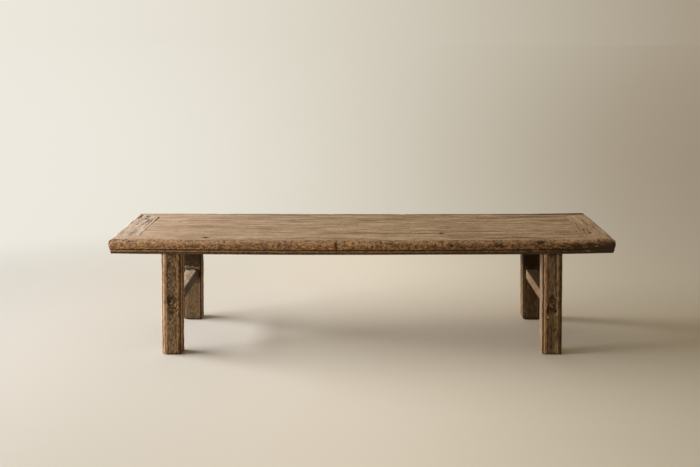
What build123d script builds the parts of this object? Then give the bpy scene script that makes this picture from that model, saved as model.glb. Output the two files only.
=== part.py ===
"""Low kang table: a framed and panelled top on four recessed, slightly splayed legs.

Millimetres, +Z up. The origin is on the floor under the middle of the top. +X runs
along the length of the table and -Y is its front.
"""

from build123d import *
import math
import os

# --- Driving sizes -----------------------------------------------------------------------
# Whole table
table_length = 1600.0
table_depth = 520.0
table_height = 373.0

# Top frame: two long rails and two end rails, mitred at the corners
frame_thickness = 46.0
frame_width = 86.0

# Moulded edge of the frame. Recesses run inwards from the outermost line of the edge.
arris_setback = 12.0
bulge_drop = 14.0
roll_undercut = 4.0
quirk_recess = 8.0
quirk_height = 2.5
bead_recess = 4.5
bead_height = 8.0
fillet_recess = 7.0
fillet_height = 6.5

# Panel: two boards, flush with the frame and tongued into it
panel_thickness = 18.0
panel_gap = 0.5
panel_tongue_thickness = 8.0
panel_tongue_length = 8.0
groove_play = 2.0
front_board_width = 219.0
seam_tongue_thickness = 6.0
seam_tongue_length = 6.0
seam_tongue_drop = 4.5
seam_groove_play = 0.6

# Battens: dovetailed into the underside of the panel, tenoned into the long rails
batten_spacing = 380.0
batten_width = 40.0
batten_rise = 2.0
dovetail_height = 5.5
dovetail_neck = 28.0
dovetail_flare = 2.0
batten_tenon_length = 26.0
batten_tenon_width = 30.0
batten_shoulder = 6.0

# Tenons of the long rails, behind the mitres, each locked by a peg from below
mitre_tenon_thickness = 12.0
mitre_tenon_width = 38.0
mitre_tenon_inset = 14.0
mitre_tenon_cover = 20.0
peg_radius = 4.5
peg_end_distance = 16.0
peg_reach = 3.0

# Legs. The overhang runs from the end of the top to the outer face of a leg.
leg_size = 62.0
leg_end_overhang = 169.0
leg_face_inset = 7.0
leg_splay = 4.0
leg_notch = 4.5
leg_bead_width = 10.0
leg_bead_round = 1.2
leg_field_sink = 1.8
leg_tenon_width = 38.0
leg_tenon_thickness = 18.0
leg_tenon_height = 32.0

# Side stretchers, one between the two legs of each end, with wedged through tenons
stretcher_top = 184.0
stretcher_width = 40.0
stretcher_height = 36.0
stretcher_round = 4.0
stretcher_tenon_width = 16.0
stretcher_shoulder = 4.0
wedge_length = 24.0
wedge_thickness = 4.0
wedge_tip = 1.2

# Clearance round a tenon, key or peg. Shoulders and mitres meet face to face.
joint_clearance = 0.15

# --- Places worked out from the driving sizes ----------------------------------------------
half_length = table_length / 2
half_depth = table_depth / 2
opening_half_length = half_length - frame_width
opening_half_depth = half_depth - frame_width
frame_bottom = table_height - frame_thickness
roll_bottom = -(frame_thickness - fillet_height - bead_height - quirk_height)
bead_top = roll_bottom - quirk_height
bead_bottom = bead_top - bead_height

panel_bottom = table_height - panel_thickness
tongue_top = panel_bottom + panel_tongue_thickness
tongue_half_length = opening_half_length + panel_tongue_length
tongue_half_depth = opening_half_depth + panel_tongue_length
groove_depth = panel_tongue_length + groove_play
seam_y = front_board_width - opening_half_depth
seam_tongue_bottom = table_height - seam_tongue_drop - seam_tongue_thickness

batten_bottom = frame_bottom + batten_rise
batten_drop = panel_bottom - batten_bottom
batten_tenon_thickness = batten_drop - 2 * batten_shoulder
batten_middle = (panel_bottom + batten_bottom) / 2
batten_places = {
    "left_batten": -batten_spacing,
    "middle_batten": 0.0,
    "right_batten": batten_spacing,
}

mitre_tenon_z = (panel_bottom + frame_bottom) / 2
mitre_tenon_end = half_length - mitre_tenon_cover
mitre_tenon_y = opening_half_depth + mitre_tenon_inset + mitre_tenon_width / 2
peg_x = mitre_tenon_end - peg_end_distance
peg_length = mitre_tenon_z + mitre_tenon_thickness / 2 + peg_reach - frame_bottom

leg_x = half_length - leg_end_overhang - leg_size / 2
leg_y = half_depth - leg_face_inset - leg_size / 2
leg_inner_y = leg_y - leg_size / 2
leg_field_y = leg_y + leg_size / 2 - leg_field_sink
leg_field = leg_size - 2 * (leg_notch + leg_bead_width)
leg_axis = (-leg_splay, 0, frame_bottom)
leg_length = math.hypot(leg_splay, frame_bottom)

stretcher_z = stretcher_top - stretcher_height / 2
stretcher_x = leg_x + leg_splay * (frame_bottom - stretcher_z) / frame_bottom
stretcher_tenon_height = stretcher_height - 2 * stretcher_shoulder
wedge_root_y = leg_field_y - wedge_length

standing = (Align.CENTER, Align.CENTER, Align.MIN)

os.makedirs("parts", exist_ok=True)

# --- Top frame -----------------------------------------------------------------------------
# Section shared by the four rails: local x runs inwards from the edge, local y is height
# below the top. A long roll is undercut by a quirk, over a thin bead and a plain fillet.
with BuildSketch() as rail_section:
    with BuildLine():
        TangentArc((0, -bulge_drop), (arris_setback, 0), tangent=(0, 1))
        TangentArc((0, -bulge_drop), (roll_undercut, roll_bottom), tangent=(0, -1))
        Polyline((roll_undercut, roll_bottom), (quirk_recess, roll_bottom), (quirk_recess, bead_top))
        ThreePointArc(
            (quirk_recess, bead_top),
            (bead_recess, (bead_top + bead_bottom) / 2),
            (quirk_recess, bead_bottom),
        )
        Polyline(
            (quirk_recess, bead_bottom),
            (fillet_recess, bead_bottom),
            (fillet_recess, -frame_thickness),
            (frame_width, -frame_thickness),
            (frame_width, 0),
            (arris_setback, 0),
        )
    make_face()

front_edge = Plane(origin=(-half_length, -half_depth, table_height), x_dir=(0, 1, 0), z_dir=(1, 0, 0))
right_edge = Plane(origin=(half_length, -half_depth, table_height), x_dir=(-1, 0, 0), z_dir=(0, 1, 0))

# The groove that is ploughed round the inside of the frame for the panel's tongue
with BuildPart() as panel_groove:
    with BuildSketch(Plane.XY.offset(panel_bottom)):
        Rectangle(
            2 * (opening_half_length + groove_depth),
            2 * (opening_half_depth + groove_depth),
        )
    extrude(amount=panel_tongue_thickness + joint_clearance)


def mitre_tenons(clearance):
    """The four tenon blocks behind the mitres, grown on every side by a clearance."""
    start = opening_half_length - frame_width
    length = mitre_tenon_end - start + clearance
    middle = start + length / 2
    with BuildPart() as blocks:
        with Locations((0, 0, mitre_tenon_z)):
            with GridLocations(2 * middle, 2 * mitre_tenon_y, 2, 2):
                Box(length, mitre_tenon_width + 2 * clearance, mitre_tenon_thickness + 2 * clearance)
    return blocks.part


def pegs(clearance):
    """The four upright pegs of the mitre tenons, grown in radius by a clearance."""
    with BuildPart() as pins:
        with Locations((0, 0, frame_bottom)):
            with GridLocations(2 * peg_x, 2 * mitre_tenon_y, 2, 2):
                Cylinder(peg_radius + clearance, peg_length, align=standing)
    return pins.part


with BuildPart() as front_rail:
    with BuildSketch(front_edge):
        add(rail_section.sketch)
    extrude(amount=table_length)
    # Mitres at both ends
    with BuildSketch(Plane.XY.offset(frame_bottom)):
        with BuildLine():
            Polyline(
                (-half_length, -half_depth),
                (half_length, -half_depth),
                (opening_half_length, -opening_half_depth),
                (-opening_half_length, -opening_half_depth),
                close=True,
            )
        make_face()
    extrude(amount=frame_thickness, mode=Mode.INTERSECT)
    add(panel_groove.part, mode=Mode.SUBTRACT)
    # Tenons through the mitre faces: only the front pair belongs to this rail
    with BuildPart(mode=Mode.PRIVATE) as front_tenons:
        add(mitre_tenons(0))
        split(bisect_by=Plane.XZ, keep=Keep.TOP)
    add(front_tenons.part)
    add(pegs(joint_clearance), mode=Mode.SUBTRACT)
    # Mortises for the two leg tenons, in the underside
    with Locations((leg_x, -leg_y, frame_bottom), (-leg_x, -leg_y, frame_bottom)):
        Box(
            leg_tenon_width + 2 * joint_clearance,
            leg_tenon_thickness + 2 * joint_clearance,
            leg_tenon_height + joint_clearance,
            align=standing,
            mode=Mode.SUBTRACT,
        )
    # Mortises for the batten tenons, in the inner face
    with Locations([(x, -opening_half_depth, batten_middle) for x in batten_places.values()]):
        Box(
            batten_tenon_width + 2 * joint_clearance,
            batten_tenon_length + joint_clearance,
            batten_tenon_thickness + 2 * joint_clearance,
            align=(Align.CENTER, Align.MAX, Align.CENTER),
            mode=Mode.SUBTRACT,
        )
front_rail.part.label = "front_rail"
export_step(front_rail.part, "parts/front_rail.step")

with BuildPart() as back_rail:
    mirror(front_rail.part, about=Plane.XZ)
back_rail.part.label = "back_rail"
export_step(back_rail.part, "parts/back_rail.step")

with BuildPart() as right_end_rail:
    with BuildSketch(right_edge):
        add(rail_section.sketch)
    extrude(amount=table_depth)
    # Mitres at both ends
    with BuildSketch(Plane.XY.offset(frame_bottom)):
        with BuildLine():
            Polyline(
                (half_length, -half_depth),
                (half_length, half_depth),
                (opening_half_length, opening_half_depth),
                (opening_half_length, -opening_half_depth),
                close=True,
            )
        make_face()
    extrude(amount=frame_thickness, mode=Mode.INTERSECT)
    add(panel_groove.part, mode=Mode.SUBTRACT)
    add(mitre_tenons(joint_clearance), mode=Mode.SUBTRACT)
    add(pegs(joint_clearance), mode=Mode.SUBTRACT)
right_end_rail.part.label = "right_end_rail"
export_step(right_end_rail.part, "parts/right_end_rail.step")

with BuildPart() as left_end_rail:
    mirror(right_end_rail.part, about=Plane.YZ)
left_end_rail.part.label = "left_end_rail"
export_step(left_end_rail.part, "parts/left_end_rail.step")

with BuildPart() as corner_pegs:
    add(pegs(0))
corner_pegs.part.label = "corner_pegs"
export_step(corner_pegs.part, "parts/corner_pegs.step")


# --- Panel ---------------------------------------------------------------------------------
def dovetail_keys(clearance):
    """The keys on top of the battens, grown by a clearance, as long as the panel is deep."""
    neck = dovetail_neck / 2 + clearance
    head = neck + dovetail_flare
    with BuildPart() as keys:
        with BuildSketch(Plane.XZ.offset(-tongue_half_depth)):
            with Locations([(place, panel_bottom) for place in batten_places.values()]):
                Polygon(
                    (-neck, 0),
                    (neck, 0),
                    (head, dovetail_height + clearance),
                    (-head, dovetail_height + clearance),
                    align=None,
                )
        extrude(amount=2 * tongue_half_depth)
    return keys.part


# The front board carries the tongue of the seam between the boards, the back board its groove
with BuildPart() as front_board:
    with Locations((0, -opening_half_depth + panel_gap, tongue_top)):
        Box(
            2 * (opening_half_length - panel_gap),
            front_board_width - panel_gap,
            table_height - tongue_top,
            align=(Align.CENTER, Align.MIN, Align.MIN),
        )
    with Locations((0, -tongue_half_depth, panel_bottom)):
        Box(
            2 * tongue_half_length,
            seam_y + tongue_half_depth,
            panel_tongue_thickness,
            align=(Align.CENTER, Align.MIN, Align.MIN),
        )
    with Locations((0, seam_y, seam_tongue_bottom)):
        Box(
            2 * (opening_half_length - panel_gap),
            seam_tongue_length,
            seam_tongue_thickness,
            align=(Align.CENTER, Align.MIN, Align.MIN),
        )
    add(dovetail_keys(joint_clearance), mode=Mode.SUBTRACT)
front_board.part.label = "front_board"
export_step(front_board.part, "parts/front_board.step")

with BuildPart() as back_board:
    with Locations((0, opening_half_depth - panel_gap, tongue_top)):
        Box(
            2 * (opening_half_length - panel_gap),
            opening_half_depth - panel_gap - seam_y,
            table_height - tongue_top,
            align=(Align.CENTER, Align.MAX, Align.MIN),
        )
    with Locations((0, tongue_half_depth, panel_bottom)):
        Box(
            2 * tongue_half_length,
            tongue_half_depth - seam_y,
            panel_tongue_thickness,
            align=(Align.CENTER, Align.MAX, Align.MIN),
        )
    with Locations((0, seam_y, seam_tongue_bottom + seam_tongue_thickness / 2)):
        Box(
            2 * tongue_half_length,
            seam_tongue_length + seam_groove_play,
            seam_tongue_thickness + 2 * joint_clearance,
            align=(Align.CENTER, Align.MIN, Align.CENTER),
            mode=Mode.SUBTRACT,
        )
    add(dovetail_keys(joint_clearance), mode=Mode.SUBTRACT)
back_board.part.label = "back_board"
export_step(back_board.part, "parts/back_board.step")

# --- Battens -------------------------------------------------------------------------------
for name, place in batten_places.items():
    with BuildPart() as batten:
        with Locations((place, 0, batten_middle)):
            Box(batten_width, 2 * opening_half_depth, batten_drop)
            Box(
                batten_tenon_width,
                2 * (opening_half_depth + batten_tenon_length),
                batten_tenon_thickness,
            )
        with BuildSketch(Plane.XZ.offset(-opening_half_depth)):
            with Locations((place, panel_bottom)):
                Polygon(
                    (-dovetail_neck / 2, 0),
                    (dovetail_neck / 2, 0),
                    (dovetail_neck / 2 + dovetail_flare, dovetail_height),
                    (-dovetail_neck / 2 - dovetail_flare, dovetail_height),
                    align=None,
                )
        extrude(amount=2 * opening_half_depth)
    batten.part.label = name
    export_step(batten.part, f"parts/{name}.step")


# --- Legs ----------------------------------------------------------------------------------
def stretcher_tenons(clearance):
    """The tenon blocks of the right stretcher through both legs, grown by a clearance."""
    with BuildPart() as blocks:
        with Locations((stretcher_x, 0, stretcher_z)):
            Box(
                stretcher_tenon_width + 2 * clearance,
                2 * leg_field_y,
                stretcher_tenon_height + 2 * clearance,
            )
    return blocks.part


# Square in section with notched corners. Three faces have a sunk field between two beads.
# The fourth, which takes the stretcher, stays flat.
with BuildSketch() as leg_section:
    Rectangle(leg_size, leg_size)
    with GridLocations(leg_size, leg_size, 2, 2):
        Rectangle(2 * leg_notch, 2 * leg_notch, mode=Mode.SUBTRACT)
    with Locations((0, -leg_size / 2)):
        Rectangle(leg_field, 2 * leg_field_sink, mode=Mode.SUBTRACT)
    with GridLocations(leg_size, 0, 2, 1):
        Rectangle(2 * leg_field_sink, leg_field, mode=Mode.SUBTRACT)
    outer_corners = [
        corner
        for corner in leg_section.vertices()
        if max(abs(corner.X), abs(corner.Y)) > leg_size / 2 - leg_field_sink / 2
    ]
    fillet(outer_corners, leg_bead_round)

with BuildPart() as front_right_leg:
    with BuildSketch():
        with Locations((leg_x + leg_splay, -leg_y)):
            add(leg_section.sketch)
    extrude(amount=leg_length, dir=leg_axis)
    with Locations((leg_x, -leg_y, frame_bottom)):
        Box(leg_tenon_width, leg_tenon_thickness, leg_tenon_height, align=standing)
    add(stretcher_tenons(joint_clearance), mode=Mode.SUBTRACT)
front_right_leg.part.label = "front_right_leg"
export_step(front_right_leg.part, "parts/front_right_leg.step")

with BuildPart() as front_left_leg:
    mirror(front_right_leg.part, about=Plane.YZ)
front_left_leg.part.label = "front_left_leg"
export_step(front_left_leg.part, "parts/front_left_leg.step")

with BuildPart() as back_right_leg:
    mirror(front_right_leg.part, about=Plane.XZ)
back_right_leg.part.label = "back_right_leg"
export_step(back_right_leg.part, "parts/back_right_leg.step")

with BuildPart() as back_left_leg:
    mirror(front_left_leg.part, about=Plane.XZ)
back_left_leg.part.label = "back_left_leg"
export_step(back_left_leg.part, "parts/back_left_leg.step")


# --- Side stretchers -------------------------------------------------------------------------
# Each tenon end is sawn and spread by a flat wedge, thick at the face of the leg
with BuildPart() as right_wedges:
    with BuildSketch(Plane.YZ.offset(stretcher_x - stretcher_tenon_width / 2)):
        with BuildLine():
            Polyline(
                (wedge_root_y, stretcher_z - wedge_tip / 2),
                (leg_field_y, stretcher_z - wedge_thickness / 2),
                (leg_field_y, stretcher_z + wedge_thickness / 2),
                (wedge_root_y, stretcher_z + wedge_tip / 2),
                close=True,
            )
        make_face()
    extrude(amount=stretcher_tenon_width)
    mirror(about=Plane.XZ)

with BuildPart() as right_stretcher:
    with Locations((stretcher_x, 0, stretcher_z)):
        Box(stretcher_width, 2 * leg_inner_y, stretcher_height)
    fillet(right_stretcher.edges().filter_by(Axis.Y), stretcher_round)
    add(stretcher_tenons(0))
    add(right_wedges.part, mode=Mode.SUBTRACT)
right_stretcher.part.label = "right_stretcher"
export_step(right_stretcher.part, "parts/right_stretcher.step")

with BuildPart() as left_stretcher:
    mirror(right_stretcher.part, about=Plane.YZ)
left_stretcher.part.label = "left_stretcher"
export_step(left_stretcher.part, "parts/left_stretcher.step")

with BuildPart() as stretcher_wedges:
    add(right_wedges.part)
    mirror(about=Plane.YZ)
stretcher_wedges.part.label = "stretcher_wedges"
export_step(stretcher_wedges.part, "parts/stretcher_wedges.step")
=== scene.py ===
"""Low kang table in old elm: the looks of every piece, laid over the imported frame.

Metres, +Z up, in the frame of the construction. -Y is the front of the table.
"""

import math

import bpy
import numpy as np
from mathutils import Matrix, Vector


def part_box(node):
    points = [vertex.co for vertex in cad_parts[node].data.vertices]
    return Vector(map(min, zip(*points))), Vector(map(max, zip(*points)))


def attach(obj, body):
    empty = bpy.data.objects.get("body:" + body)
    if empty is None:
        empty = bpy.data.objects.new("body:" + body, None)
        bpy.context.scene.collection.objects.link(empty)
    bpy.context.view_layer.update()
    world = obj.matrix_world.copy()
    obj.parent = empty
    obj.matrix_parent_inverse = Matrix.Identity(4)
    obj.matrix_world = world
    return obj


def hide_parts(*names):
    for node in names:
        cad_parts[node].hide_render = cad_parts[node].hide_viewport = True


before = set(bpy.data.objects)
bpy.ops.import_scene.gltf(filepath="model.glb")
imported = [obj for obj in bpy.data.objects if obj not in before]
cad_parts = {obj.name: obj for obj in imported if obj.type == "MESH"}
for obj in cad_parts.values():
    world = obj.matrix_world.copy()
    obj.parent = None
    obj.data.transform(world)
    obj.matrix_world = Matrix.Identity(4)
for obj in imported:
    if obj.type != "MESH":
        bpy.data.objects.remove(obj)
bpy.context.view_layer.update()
scene = bpy.context.scene

# --- Long rails ------------------------------------------------------------------------------
# The front and back members of the top frame: elm, about 46 mm thick, with a big roll, a thin
# bead and a fillet worked along the outer edge with scraping irons. They are mitred to the end
# rails and carry the legs. A century of use has sagged them and knocked and rubbed the roll.
front_low, front_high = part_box("front_rail")
half_length = front_high.x
half_depth = -front_low.y
top_z = front_high.z
frame_thickness = front_high.z - front_low.z
frame_width = half_depth + front_high.y
sag_front, sag_back = 0.0040, 0.0016
warp_front, warp_back, warp_start = 0.0014, 0.0024, 0.70
corner_wear = 0.010
worn_bead_reach = 0.060
joint_line = 0.0012
# Extra stations this close to the ends of a skin, and how near two lengths count as equal
end_steps = np.array([0.0008, 0.002])
hair = 1e-6
lattice_size = 64
lattice = np.random.default_rng(1911).random((lattice_size,) * 3)


def lumps(points, cells, seed, layers=1):
    """Value noise from -1 to 1. Space is cut into cells, so many per metre along each axis, with
    a random height at each lattice point and a smooth cubic step between them. Each further
    layer has cells half as large and counts half as much. The seed shifts the whole field."""
    total = 0.0
    for layer in range(layers):
        where = points * (np.asarray(cells) * 2.0**layer) + seed * 7.31 + layer * 3.7
        cell = np.floor(where)
        part = where - cell
        part = part * part * (3.0 - 2.0 * part)
        cell = cell.astype(np.int64)
        height = 0.0
        for corner in np.ndindex(2, 2, 2):
            near = (cell + corner) % lattice_size
            weight = np.where(corner, part, 1.0 - part).prod(axis=-1)
            height = height + weight * lattice[near[..., 0], near[..., 1], near[..., 2]]
        total = total + (2.0 * height - 1.0) * 0.5**layer
    return total


def strayed(points, by, cells, seed):
    """Points pushed to and fro by noise, so that what is measured from them wanders."""
    return points + by * lumps(points, cells, seed)[..., None]


def rise(value, middle, width):
    """A smooth step from 0 to 1 as a value passes the middle: 1 over 1 plus exp of minus the
    scaled distance past it."""
    return 1.0 / (1.0 + np.exp(-(value - middle) / width))


def bell(distance, width):
    """1 at no distance, falling off on both sides as exp of minus the squared scaled distance."""
    return np.exp(-((distance / width) ** 2))


def dents(points, rows):
    """Depth of round knocks. A row is x, y, z of the middle, three half sizes and a depth; the
    depth falls off from the middle as exp of minus the squared scaled distance."""
    depth = np.zeros(points.shape[:-1])
    for row in rows:
        away = ((points - row[0:3]) / row[3:6]) ** 2
        depth += row[6] * np.exp(-away.sum(axis=-1))
    return depth


def checks(points, rows, wander=0.0015, seed=5):
    """Depth of drying cracks. A row is two end points, a half width and a depth. The depth falls
    off in a straight line from the segment between the ends, which wanders a little, and the
    crack narrows towards both ends as the root of a sine."""
    depth = np.zeros(points.shape[:-1])
    pushed = strayed(points, wander, (40, 40, 5), seed)
    for row in rows:
        start, end = np.array(row[0:3]), np.array(row[3:6])
        run = end - start
        share = np.clip(((pushed - start) @ run) / (run @ run), 0.0, 1.0)
        away = np.linalg.norm(pushed - start - share[..., None] * run, axis=-1)
        width = row[6] * np.sqrt(np.sin(np.pi * np.clip(share, 0.02, 0.98)))
        depth = np.maximum(depth, row[7] * np.clip(1.0 - away / width, 0.0, 1.0))
    return depth


def upright_dents(y, reach, rows):
    """Rows for dents in an upright face at y, from rows of x, z, half sizes in x and z, depth."""
    return [[x, y, z, wide, reach, tall, depth] for x, z, wide, tall, depth in rows]


def top_cracks(rows):
    """Rows for checks in the top face, from rows of x, y, x, y, half width and depth."""
    return [[row[0], row[1], top_z, row[2], row[3], top_z, row[4], row[5]] for row in rows]


def scattered(seed, count, low, high, sizes, depths):
    """Rows for dents: middles spread evenly in a box, half sizes and depths from even draws."""
    draw = np.random.default_rng(seed)
    middles = draw.uniform(low, high, (count, 3))
    spans = draw.uniform(*sizes, (count, 1)) * draw.uniform(0.6, 1.6, (count, 3))
    return np.hstack([middles, spans, draw.uniform(*depths, (count, 1))])


def line(start, end, count, crowd=0.0):
    """Points on a straight run, without its end. Crowd draws them towards both ends, by a sine."""
    share = np.arange(count) / count
    share = share - crowd * np.sin(2.0 * np.pi * share) / (2.0 * np.pi)
    return np.array(start) + share[:, None] * (np.array(end) - np.array(start))


def chain(start, *runs):
    """Straight runs one after another, without the last end. Each run is its end, the count of
    its points and, where they crowd towards both ends, how much."""
    rows = []
    for end, *spacing in runs:
        rows.append(line(start, end, *spacing))
        start = end
    return np.vstack(rows)


def arc(centre, radius, first, last, count):
    """Points on a circular arc between two angles in degrees, without its end."""
    angle = np.radians(first + (last - first) * np.arange(count) / count)
    return np.array(centre) + radius * np.stack([np.cos(angle), np.sin(angle)], axis=-1)


def outward(ring):
    """Unit normals of a closed outline: the chord between a point's neighbours, turned a
    quarter, on the side away from the enclosed area."""
    chord = np.roll(ring, -1, axis=0) - np.roll(ring, 1, axis=0)
    normal = np.stack([chord[:, 1], -chord[:, 0]], axis=-1)
    area = (ring[:, 0] * np.roll(ring[:, 1], -1) - ring[:, 1] * np.roll(ring[:, 0], -1)).sum()
    return np.sign(area) * normal / np.linalg.norm(normal, axis=-1, keepdims=True)


def skin(name, points, facts, material, crease=38.0):
    """A closed skin over stations x ring x 3 points: quads join each ring to the next, one face
    closes each end ring, and facts holds one number per point for each named attribute."""
    stations, around = points.shape[:2]
    here = np.arange(stations - 1)[:, None] * around + np.arange(around)
    next_round = np.arange(stations - 1)[:, None] * around + np.roll(np.arange(around), -1)
    quads = np.stack([here, next_round, next_round + around, here + around], axis=-1)
    faces = quads.reshape(-1, 4).tolist()
    faces.append(np.arange(around)[::-1].tolist())
    faces.append((np.arange(around) + (stations - 1) * around).tolist())
    mesh = bpy.data.meshes.new(name)
    mesh.from_pydata(points.reshape(-1, 3).tolist(), [], faces)
    middle = points.reshape(-1, 3).mean(axis=0)
    corner = points.reshape(-1, 3)[quads.reshape(-1, 4)] - middle
    volume = np.einsum("ij,ij->", np.cross(corner[:, 0], corner[:, 1]), corner[:, 2])
    volume += np.einsum("ij,ij->", np.cross(corner[:, 0], corner[:, 2]), corner[:, 3])
    if volume < 0.0:
        mesh.flip_normals()
    for fact, values in facts.items():
        layer = mesh.attributes.new(fact, "FLOAT", "POINT")
        layer.data.foreach_set("value", np.clip(values, 0.0, 1.0).astype(np.float32).ravel())
    mesh.shade_smooth()
    mesh.set_sharp_from_angle(angle=math.radians(crease))
    mesh.materials.append(material)
    piece = bpy.data.objects.new(name, mesh)
    scene.collection.objects.link(piece)
    return piece


def settled(points):
    """The sag of the top: 4 mm in the middle of the front edge and 1.6 mm at the back, falling
    off to nothing at the ends as a power of a parabola. Outside the right legs the top has
    warped upwards, by a power of the way out, to 1.4 mm at the front corner and 2.4 mm behind."""
    hang = 1.0 - np.clip(np.abs(points[..., 0]) / half_length, 0.0, 1.0) ** 2
    back = np.clip(points[..., 1] / (2.0 * half_depth) + 0.5, 0.0, 1.0)
    outside = np.clip((points[..., 0] / half_length - warp_start) / (1.0 - warp_start), 0.0, 1.0)
    moved = points.copy()
    moved[..., 2] -= (sag_front + (sag_back - sag_front) * back) * hang**1.6
    moved[..., 2] += (warp_front + (warp_back - warp_front) * back) * outside**1.3
    return moved


def rounded_corners(points):
    """The knocked corners of the top seen from above. Within 8.5 or 11.5 mm of a corner, a
    square ring round the corner's own centre is turned into the circle that fits inside it."""
    worn = corner_wear + 0.0015 * np.sign(points[..., 0]) * np.sign(points[..., 1] + 1e-9)
    across = np.abs(points[..., 0]) - (half_length - worn)
    deep = np.abs(points[..., 1]) - (half_depth - worn)
    corner = (across > 0.0) & (deep > 0.0)
    size = np.hypot(across, deep)
    shrink = np.where(corner, np.maximum(across, deep) / np.where(corner, size, 1.0), 1.0)
    moved = points.copy()
    moved[..., 0] += np.sign(points[..., 0]) * across * (shrink - 1.0) * corner
    moved[..., 1] += np.sign(points[..., 1]) * deep * (shrink - 1.0) * corner
    return moved


def filled(knocked, cracked, full_crack=0.0014, most=0.8):
    """Old dirt in knocks and cracks: as much as their depth, up to a full share."""
    return np.clip(knocked / 0.0030, 0, 0.9) + np.clip(cracked / full_crack, 0, most)


def paler_towards_left(points):
    """The top grows paler towards the left, in two smooth steps of x."""
    return 0.40 * rise(-points[..., 0], 0.62, 0.040) + 0.27 * rise(-points[..., 0], 0.16, 0.090)


dry_elm = [
    (0.420, (0.192, 0.118, 0.062)),
    (0.465, (0.304, 0.197, 0.109)),
    (0.510, (0.414, 0.280, 0.162)),
    (0.570, (0.546, 0.400, 0.251)),
]
aged_elm = [
    (0.415, (0.078, 0.032, 0.008)),
    (0.465, (0.268, 0.120, 0.032)),
    (0.515, (0.408, 0.191, 0.057)),
    (0.580, (0.575, 0.302, 0.104)),
]
grime_and_shade_tone = (0.042, 0.024, 0.009, 1.0)
rubbed_and_highlight_tones = (0.70, 0.50, 0.31, 1.0), (0.70, 0.50, 0.35, 1.0)


def node(tree, kind, sockets, **settings):
    """A shader node with its settings made. A socket takes a value or a link from an output."""
    made = tree.nodes.new(kind)
    for key, value in settings.items():
        setattr(made, key, value)
    for key, value in sockets.items():
        if isinstance(value, bpy.types.NodeSocket):
            tree.links.new(value, made.inputs[key])
        else:
            made.inputs[key].default_value = value
    return made


def tone_ramp(tree, factor, stops, ease="LINEAR"):
    """A run of tones by a factor. Each stop is a place from 0 to 1 and its tone."""
    made = node(tree, "ShaderNodeValToRGB", {"Fac": factor})
    made.color_ramp.interpolation = ease
    while len(made.color_ramp.elements) < len(stops):
        made.color_ramp.elements.new(0.5)
    for element, (place, tone) in zip(made.color_ramp.elements, stops):
        element.position = place
        element.color = (*tone, 1.0)
    return made.outputs["Color"]


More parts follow.
